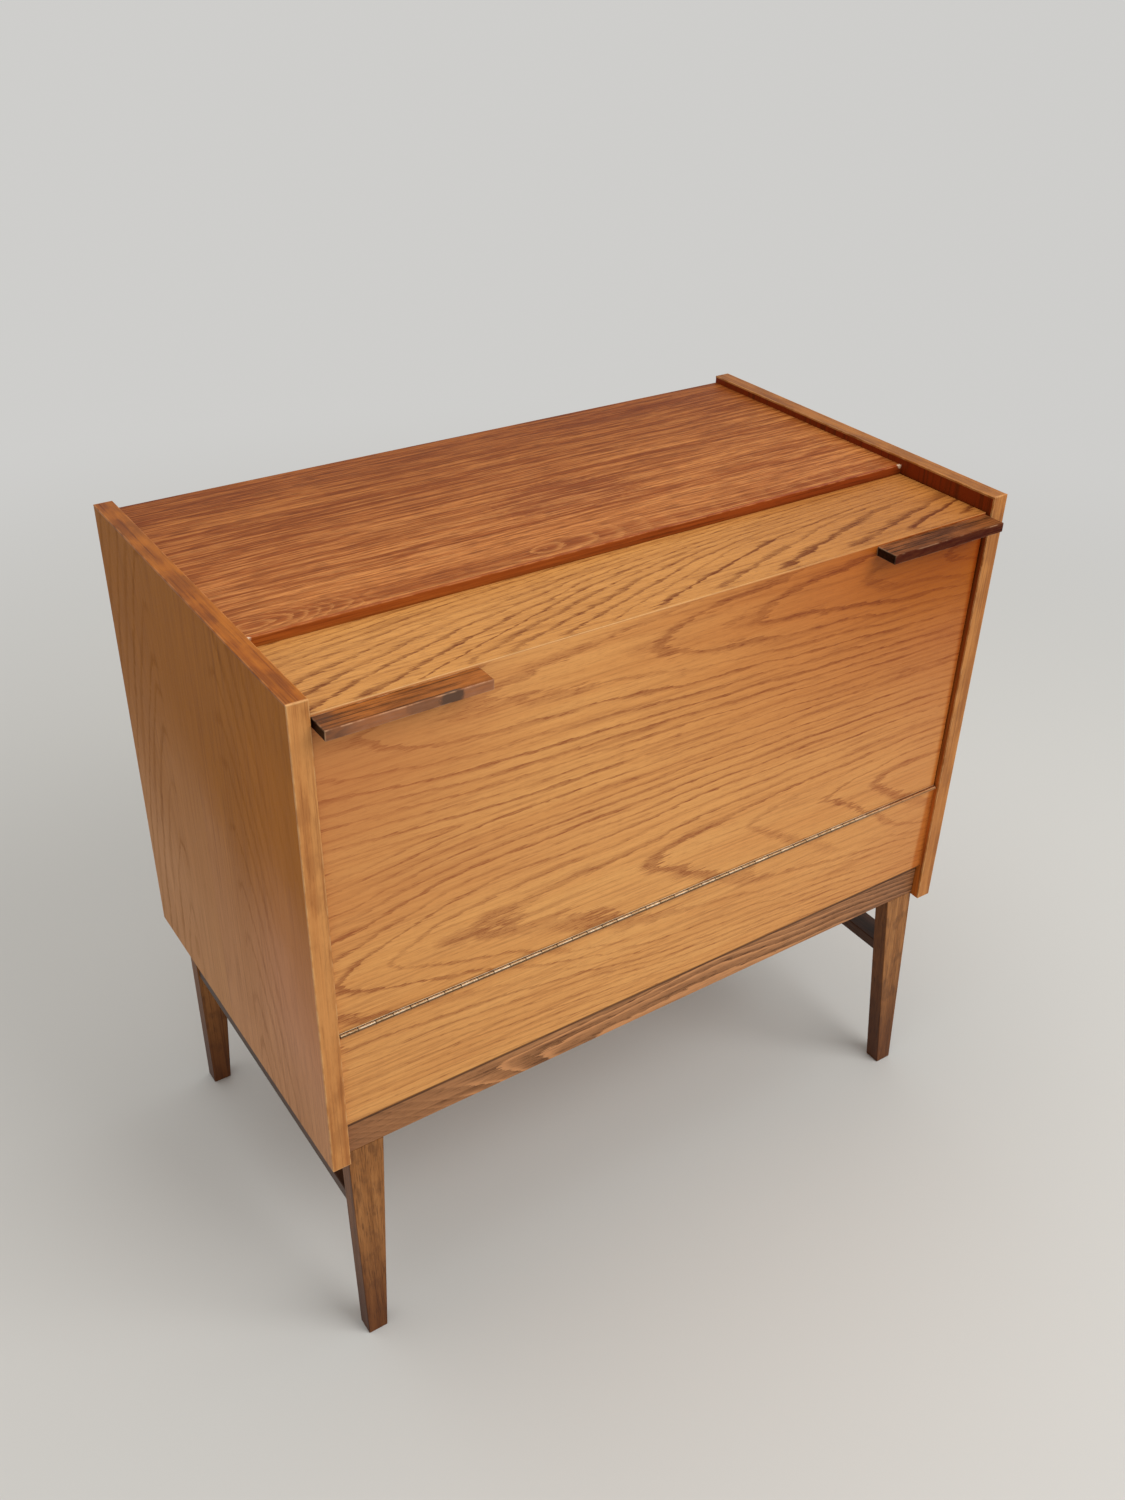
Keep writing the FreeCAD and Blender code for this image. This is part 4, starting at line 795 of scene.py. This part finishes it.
def handle_finish(front_colour, end_colour, node, stained, front_share, wear):
    """Face by face: a mottled front, near-black end grain and bare arrises.

    front_share is how much of its colour the front keeps in the mottled places, and wear how bare
    the arrises are. A stained handle has a grey left end and HANDLE_MARKS on its front, each given
    by its place along the handle, half length and strength.
    """
    low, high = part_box(node)

    def finish(nodes, colour, x, y, z):
        mottle = nodes.noise(nodes.join(x * 70.0, y * 30.0, z * 260.0), detail=3.0)
        front = y.fading(low.y + 0.0003, low.y + 0.0012)
        kept = mottle.smoothly(0.3, 0.6, 0.97, front_share)
        colour = nodes.mix(front * kept, colour, front_colour)
        if stained:
            for share, half, amount in HANDLE_MARKS:
                centre = (low.x + share * (high.x - low.x), low.y, low.z + 0.005)
                mark = spot(nodes, x, y, z, centre, (half, 0.004, 0.010)) * amount
                colour = nodes.mix(mark, colour, srgb(78, 62, 52))
            left_end = x.smoothly(low.x + 0.008, low.x + 0.034, 0.7, 0.0)
            grey = left_end * mottle.smoothly(0.35, 0.6, 1.0, 0.5)
            colour = nodes.mix(grey, colour, srgb(84, 58, 44))
        end = nodes.lesser(x - low.x, high.x - x).fading(0.0002, 0.0008)
        colour = nodes.mix(end * 0.92, colour, end_colour)
        return worn_edges(nodes, colour, x, y, z, node, srgb(206, 160, 122), 0.0013, wear)

    return finish


dress(
    solid_wood(
        "handle_left_rosewood", 51.0, along_x_flat,
        srgb(168, 98, 42), srgb(128, 72, 31), srgb(52, 26, 7), roughness=0.42,
        streak_width=110.0, streak_length=26.0, line_depth=0.75, gloss_level=0.06,
        finish=handle_finish(
            srgb(160, 108, 78), srgb(30, 16, 10), "left_handle",
            stained=True, front_share=0.6, wear=0.6,
        ),
    ),
    "left_handle",
)
dress(
    solid_wood(
        "handle_right_rosewood", 55.0, along_x_flat,
        srgb(138, 80, 40), srgb(80, 42, 22), srgb(18, 6, 2), roughness=0.42,
        streak_width=80.0, streak_length=20.0, line_depth=0.9, gloss_level=0.05,
        finish=handle_finish(
            srgb(66, 14, 0), srgb(18, 10, 8), "right_handle",
            stained=False, front_share=0.75, wear=0.35,
        ),
    ),
    "right_handle",
)

# ---------------------------------------------------------------- stand
RAIL_HEART = dict(
    centre=0.262, first_ring=5.0, spacing=0.0044, low_slant=0.7, high_slant=3.2, tip_radius=0.004,
    apexes=(
        (-0.330, 0.020), (-0.216, 0.022), (-0.168, 0.014), (-0.094, 0.016), (0.16, 0.02),
        (0.33, 0.02),
    ),
)
RAIL_END_PAINTED_SHADE = (0.42, 0.38, 0.42, 1.0)
FOOT_DARKENING = (0.42, 0.32, 0.24, 1.0)
SIDEWAYS_PAINTED_SHADE = (0.42, 0.34, 0.34, 1.0)


def rail_rings(nodes, along, across, through):
    """Nested flames point left; the heart dips out of the rail's lower edge before the middle."""
    left = nodes.lesser(along, 0.0)
    sway = nodes.noise(nodes.join(along * 9.0, 0.0, 0.0))
    right = nodes.greater(along - 0.08, 0.0)
    bent = across - left * left * 0.6 + right * 0.11 + (sway - 0.5) * 0.006
    return heart(nodes, along, bent, through.absolute() * 0.3, **RAIL_HEART)


def rail_figure_share(x, y, z):
    """The left end, ahead of the flames, is nearly plain."""
    return x.smoothly(-0.262, -0.232, 0.3, 1.0)


def rail_finish(nodes, colour, x, y, z):
    """Darker ends in painted shade, and a painted shadow along the top under the box."""
    ends = x.smoothly(0.12, 0.38) * 0.65 + x.smoothly(-0.38, -0.2, 0.5, 0.0)
    colour = nodes.multiply_tint(ends, colour, RAIL_END_PAINTED_SHADE)
    # Painted shadow of the lower front panel along the rail's top.
    corner = z.smoothly(RAIL_TOP - 0.0072, RAIL_TOP - 0.0054, 0.0, 0.75)
    return nodes.mix(corner, colour, srgb(58, 32, 18))


def leg_finish(nodes, colour, x, y, z):
    """Darker towards the feet, and painted shade on the faces that look sideways."""
    foot = z.smoothly(0.0, LEG_TOP * 0.8)
    colour = nodes.multiply_tint(1.0 - foot, colour, FOOT_DARKENING)
    # Painted shade, chosen by which way a face looks.
    sideways = nodes.facing()[0].absolute().smoothly(0.4, 0.7)
    colour = nodes.multiply_tint(sideways * 0.75, colour, SIDEWAYS_PAINTED_SHADE)
    blot = nodes.noise(nodes.join(x * 90.0, y * 90.0, z * 45.0), detail=4.0)
    return nodes.mix(blot.smoothly(0.5, 0.66) * 0.35, colour, srgb(74, 40, 20))


dress(
    oak(
        "rail_beech", 61.0, rail_rings, rail_figure_share, rail_finish, along_x,
        srgb(186, 130, 84), srgb(162, 108, 66), srgb(84, 48, 26),
        line_width=0.55, wander=0.3, gloss_level=0.16, line_depth=0.75, torn=0.003, stroke=0.4,
        fibre=0.4, rim=0.55,
    ),
    "front_rail", "rear_rail",
)
dress(
    solid_wood(
        "leg_beech", 67.0, upright_facing_front,
        srgb(170, 114, 62), srgb(142, 90, 44), srgb(84, 48, 22),
        streak_width=160.0, gloss_level=0.2, finish=leg_finish,
    ),
    "front_left_leg", "front_right_leg", "rear_left_leg", "rear_right_leg",
)
# The stretchers' very dark colour is partly painted shade from the box above them.
dress(
    solid_wood(
        "stretcher_beech", 71.0, along_y_flat, srgb(80, 50, 32), srgb(58, 36, 22), srgb(36, 22, 14)
    ),
    "left_stretcher", "right_stretcher",
)

# ---------------------------------------------------------------- inside
INNER_VENEER = (srgb(186, 136, 88), srgb(166, 112, 66), srgb(128, 80, 46))
dress(
    solid_wood("floor_veneer", 81.0, along_x_flat, *INNER_VENEER, streak_width=70.0), "case_floor"
)
dress(
    solid_wood("divider_veneer", 83.0, upright_facing_side, *INNER_VENEER, streak_width=70.0),
    "divider",
)
dress(
    solid_wood(
        "back_plywood", 85.0, along_x, srgb(176, 136, 94), srgb(156, 114, 74), srgb(120, 84, 52),
        roughness=0.6, streak_width=90.0, streak_length=1.6, line_depth=0.4,
    ),
    "back_panel",
)
SOFTWOOD = (srgb(202, 160, 108), srgb(186, 138, 84), srgb(150, 102, 58))
dress(
    solid_wood("cleat_softwood", 87.0, along_y_flat, *SOFTWOOD, roughness=0.6),
    "left_lid_cleat", "right_lid_cleat",
)
dress(
    solid_wood("block_softwood", 89.0, along_x, *SOFTWOOD, roughness=0.6),
    "flap_glue_block", "handle_dowels", "case_dowels", "divider_dowels", "leg_dowels",
    "stretcher_dowels",
)


# ---------------------------------------------------------------- metal, plastic, glass
def metal(name, bright, dull, roughness, seed, finish=None):
    """Metal with dull spots, brushed along the cabinet's width."""
    material, nodes = new_material(name)
    x, y, z = nodes.place()
    spots = nodes.noise(nodes.join(x * 260.0 + seed, y * 260.0, z * 260.0), detail=3.0)
    rub = nodes.noise(nodes.join(x * 18.0 + seed, y * 900.0, z * 900.0))
    colour = nodes.mix(spots.smoothly(0.42, 0.68), bright, dull)
    gloss = spots * 0.18 + rub * 0.12 + (roughness - 0.15)
    if finish:
        colour = finish(nodes, colour, x, y, z)
    finish_material(nodes, colour, gloss, nodes.bump(rub, 0.00004), Metallic=1.0)
    return material


KNUCKLE_LENGTH = 0.01805


def knuckle_dirt_and_painted_light(nodes, colour, x, y, z):
    """Dirt between the knuckles, painted shade below their lit tops, a painted reflection of the
    wood on their underside and a tarnished right-hand end.
    """
    place = ((x - PIN_LOW.x) / KNUCKLE_LENGTH).fraction()
    joint = nodes.lesser(place, 1.0 - place).smoothly(0.01, 0.05, 0.9, 0.0)
    tarnish = x.smoothly(0.22, 0.34, 0.0, 0.95)
    # Painted shade on the knuckles below their lit tops.
    below = z.smoothly(HINGE_HEIGHT + 0.0013, HINGE_HEIGHT + 0.0019, 0.9, 0.0)
    grime_and_shade = nodes.greater(joint, below) * (1.0 - tarnish * 0.7)
    colour = nodes.mix(tarnish, colour, srgb(176, 124, 80))
    colour = nodes.mix(grime_and_shade, colour, srgb(78, 50, 26))
    # Painted reflection of the veneer below: the knuckles' underside warm brown.
    warm = z.smoothly(HINGE_HEIGHT - 0.0006, HINGE_HEIGHT + 0.0006, 0.9, 0.0)
    return nodes.mix(warm, colour, srgb(216, 158, 106))


dress(
    metal(
        "hinge_brass_flap", srgb(240, 220, 188), srgb(214, 188, 150),
        roughness=0.5, seed=2.0, finish=knuckle_dirt_and_painted_light,
    ),
    "hinge_flap_leaf", "hinge_pin",
)
dress(
    metal(
        "hinge_brass_case", srgb(220, 194, 156), srgb(194, 164, 124),
        roughness=0.5, seed=3.0, finish=knuckle_dirt_and_painted_light,
    ),
    "hinge_case_leaf",
)
dress(
    metal(
        "fitting_steel", srgb(196, 190, 176), srgb(150, 142, 126), roughness=0.35, seed=5.0
    ),
    "left_stay", "right_stay", "left_strike_plate", "right_strike_plate", "shelf_pins",
)
dress(
    metal("screw_steel", srgb(190, 182, 160), srgb(128, 116, 92), roughness=0.4, seed=9.0),
    "back_screws", "stay_screws", "guide_screws", "cleat_and_catch_screws", "strike_screws",
    "stand_screws", "hinge_flap_screws", "hinge_case_screws",
)


def plastic(name, colour, seed):
    """Moulded plastic with a fine grain."""
    material, nodes = new_material(name)
    x, y, z = nodes.place()
    grain = nodes.noise(nodes.join(x * 1600.0 + seed, y * 1600.0, z * 1600.0))
    shade = nodes.mix(grain * 0.35, colour, tuple(c * 0.6 for c in colour[:3]) + (1.0,))
    finish_material(nodes, shade, grain * 0.2 + 0.42, nodes.bump(grain, 0.00003))
    return material


dress(
    plastic("catch_plastic", srgb(74, 52, 38), seed=4.0),
    "left_catch", "right_catch", "left_stay_guide", "right_stay_guide",
)


def glass():
    """Clear shelf glass with faint smears."""
    material, nodes = new_material("shelf_glass_clear")
    x, y, z = nodes.place()
    smear = nodes.noise(nodes.join(x * 9.0, y * 5.0, z), detail=4.0)
    finish_material(
        nodes, srgb(226, 242, 236), smear * 0.06 + 0.01, Transmission_Weight=1.0, IOR=1.5
    )
    return material


dress(glass(), "glass_shelf")


# ---------------------------------------------------------------- studio and camera
FAR_TONE = (0.62, 0.615, 0.60, 1.0)
SKY_COLOUR = (1.0, 0.985, 0.96, 1.0)
SKY_STRENGTH = 0.55
FLOOR_PAINT = srgb(208, 207, 203)
FLOOR_HALF_WIDTH = 30.0
CAMERA_PLACE = (-0.7441, -1.0981, 1.3368)
CAMERA_PITCH, CAMERA_ROLL, CAMERA_YAW = 0.5707, -0.0209, 0.5969
SENSOR_WIDTH = 36.0
FOCAL_LENGTH_IN_FRAME_HEIGHTS = 1420.0 / 1500.0


def seen_directly(nodes):
    """1 for rays from the camera, from reflections and through glass, else 0."""
    path = nodes.add("LightPath")
    camera, glossy, through_glass = (
        Field(nodes, path.outputs[f"Is {kind} Ray"])
        for kind in ("Camera", "Glossy", "Transmission")
    )
    return nodes.greater(nodes.greater(camera, glossy), through_glass)


def studio_floor():
    """A pale floor that keeps the cabinet's shadow and turns into an even tone far away."""
    mesh = bpy.data.meshes.new("studio_floor")
    half = FLOOR_HALF_WIDTH
    outline = [(-half, -half, 0), (half, -half, 0), (half, half, 0), (-half, half, 0)]
    mesh.from_pydata(outline, [], [(0, 1, 2, 3)])
    floor = bpy.data.objects.new("studio_floor", mesh)
    bpy.context.scene.collection.objects.link(floor)
    material, nodes = new_material("studio_floor_paint")
    x, y, _ = nodes.place()
    shader = nodes.add("BsdfDiffuse")
    shader.inputs["Color"].default_value = FLOOR_PAINT
    glow = nodes.add("Emission")
    glow.inputs["Color"].default_value = FAR_TONE
    far = x.length_with(y).smoothly(1.0, 2.6)
    blend = nodes.add("MixShader")
    nodes.feed(blend.inputs[0], far * seen_directly(nodes))
    nodes.feed(blend.inputs[1], shader.outputs[0])
    nodes.feed(blend.inputs[2], glow.outputs[0])
    nodes.feed(nodes.add("OutputMaterial").inputs["Surface"], blend.outputs[0])
    mesh.materials.append(material)


def lamp(name, place, aim, size, power):
    """A white rectangular lamp that points from its place to an aim."""
    light = bpy.data.lights.new(name, "AREA")
    light.shape = "RECTANGLE"
    light.size, light.size_y = size
    light.energy = power
    holder = bpy.data.objects.new(name, light)
    holder.location = place
    holder.rotation_euler = (Vector(aim) - Vector(place)).to_track_quat("-Z", "Y").to_euler()
    bpy.context.scene.collection.objects.link(holder)


def studio_light():
    """An even pale sky, a key lamp ahead on the right and a softer one overhead."""
    world = bpy.data.worlds.new("studio")
    bpy.context.scene.world = world
    world.use_nodes = True
    nodes = Nodes(world.node_tree)
    sky = nodes.add("Background")
    sky.inputs["Color"].default_value = SKY_COLOUR
    sky.inputs["Strength"].default_value = SKY_STRENGTH
    backdrop = nodes.add("Background")
    backdrop.inputs["Color"].default_value = FAR_TONE
    blend = nodes.add("MixShader")
    nodes.feed(blend.inputs[0], seen_directly(nodes))
    nodes.feed(blend.inputs[1], sky.outputs[0])
    nodes.feed(blend.inputs[2], backdrop.outputs[0])
    nodes.feed(nodes.add("OutputWorld").inputs["Surface"], blend.outputs[0])
    lamp("key", place=(1.3, -2.4, 2.9), aim=(0.0, 0.0, 0.5), size=(2.4, 2.0), power=70.0)
    lamp("overhead", place=(-0.4, 0.5, 3.4), aim=(0.0, 0.0, 0.7), size=(2.6, 2.6), power=30.0)


def photo_camera():
    """A level-held camera at standing height, ahead of the left side and looking down."""
    ahead = math.cos(CAMERA_PITCH)
    forward = Vector(
        (math.sin(CAMERA_YAW) * ahead, math.cos(CAMERA_YAW) * ahead, -math.sin(CAMERA_PITCH))
    )
    level = Vector((math.cos(CAMERA_YAW), -math.sin(CAMERA_YAW), 0.0))
    down = forward.cross(level)
    right = level * math.cos(CAMERA_ROLL) + down * math.sin(CAMERA_ROLL)
    up = level * math.sin(CAMERA_ROLL) - down * math.cos(CAMERA_ROLL)
    camera = bpy.data.cameras.new("camera")
    camera.sensor_width = SENSOR_WIDTH
    camera.lens = SENSOR_WIDTH * FOCAL_LENGTH_IN_FRAME_HEIGHTS
    holder = bpy.data.objects.new("camera", camera)
    turn = Matrix((right, up, -forward)).transposed().to_4x4()
    holder.matrix_world = Matrix.Translation(CAMERA_PLACE) @ turn
    bpy.context.scene.collection.objects.link(holder)
    bpy.context.scene.camera = holder


studio_floor()
studio_light()
photo_camera()
bpy.context.scene.view_settings.view_transform = "Standard"
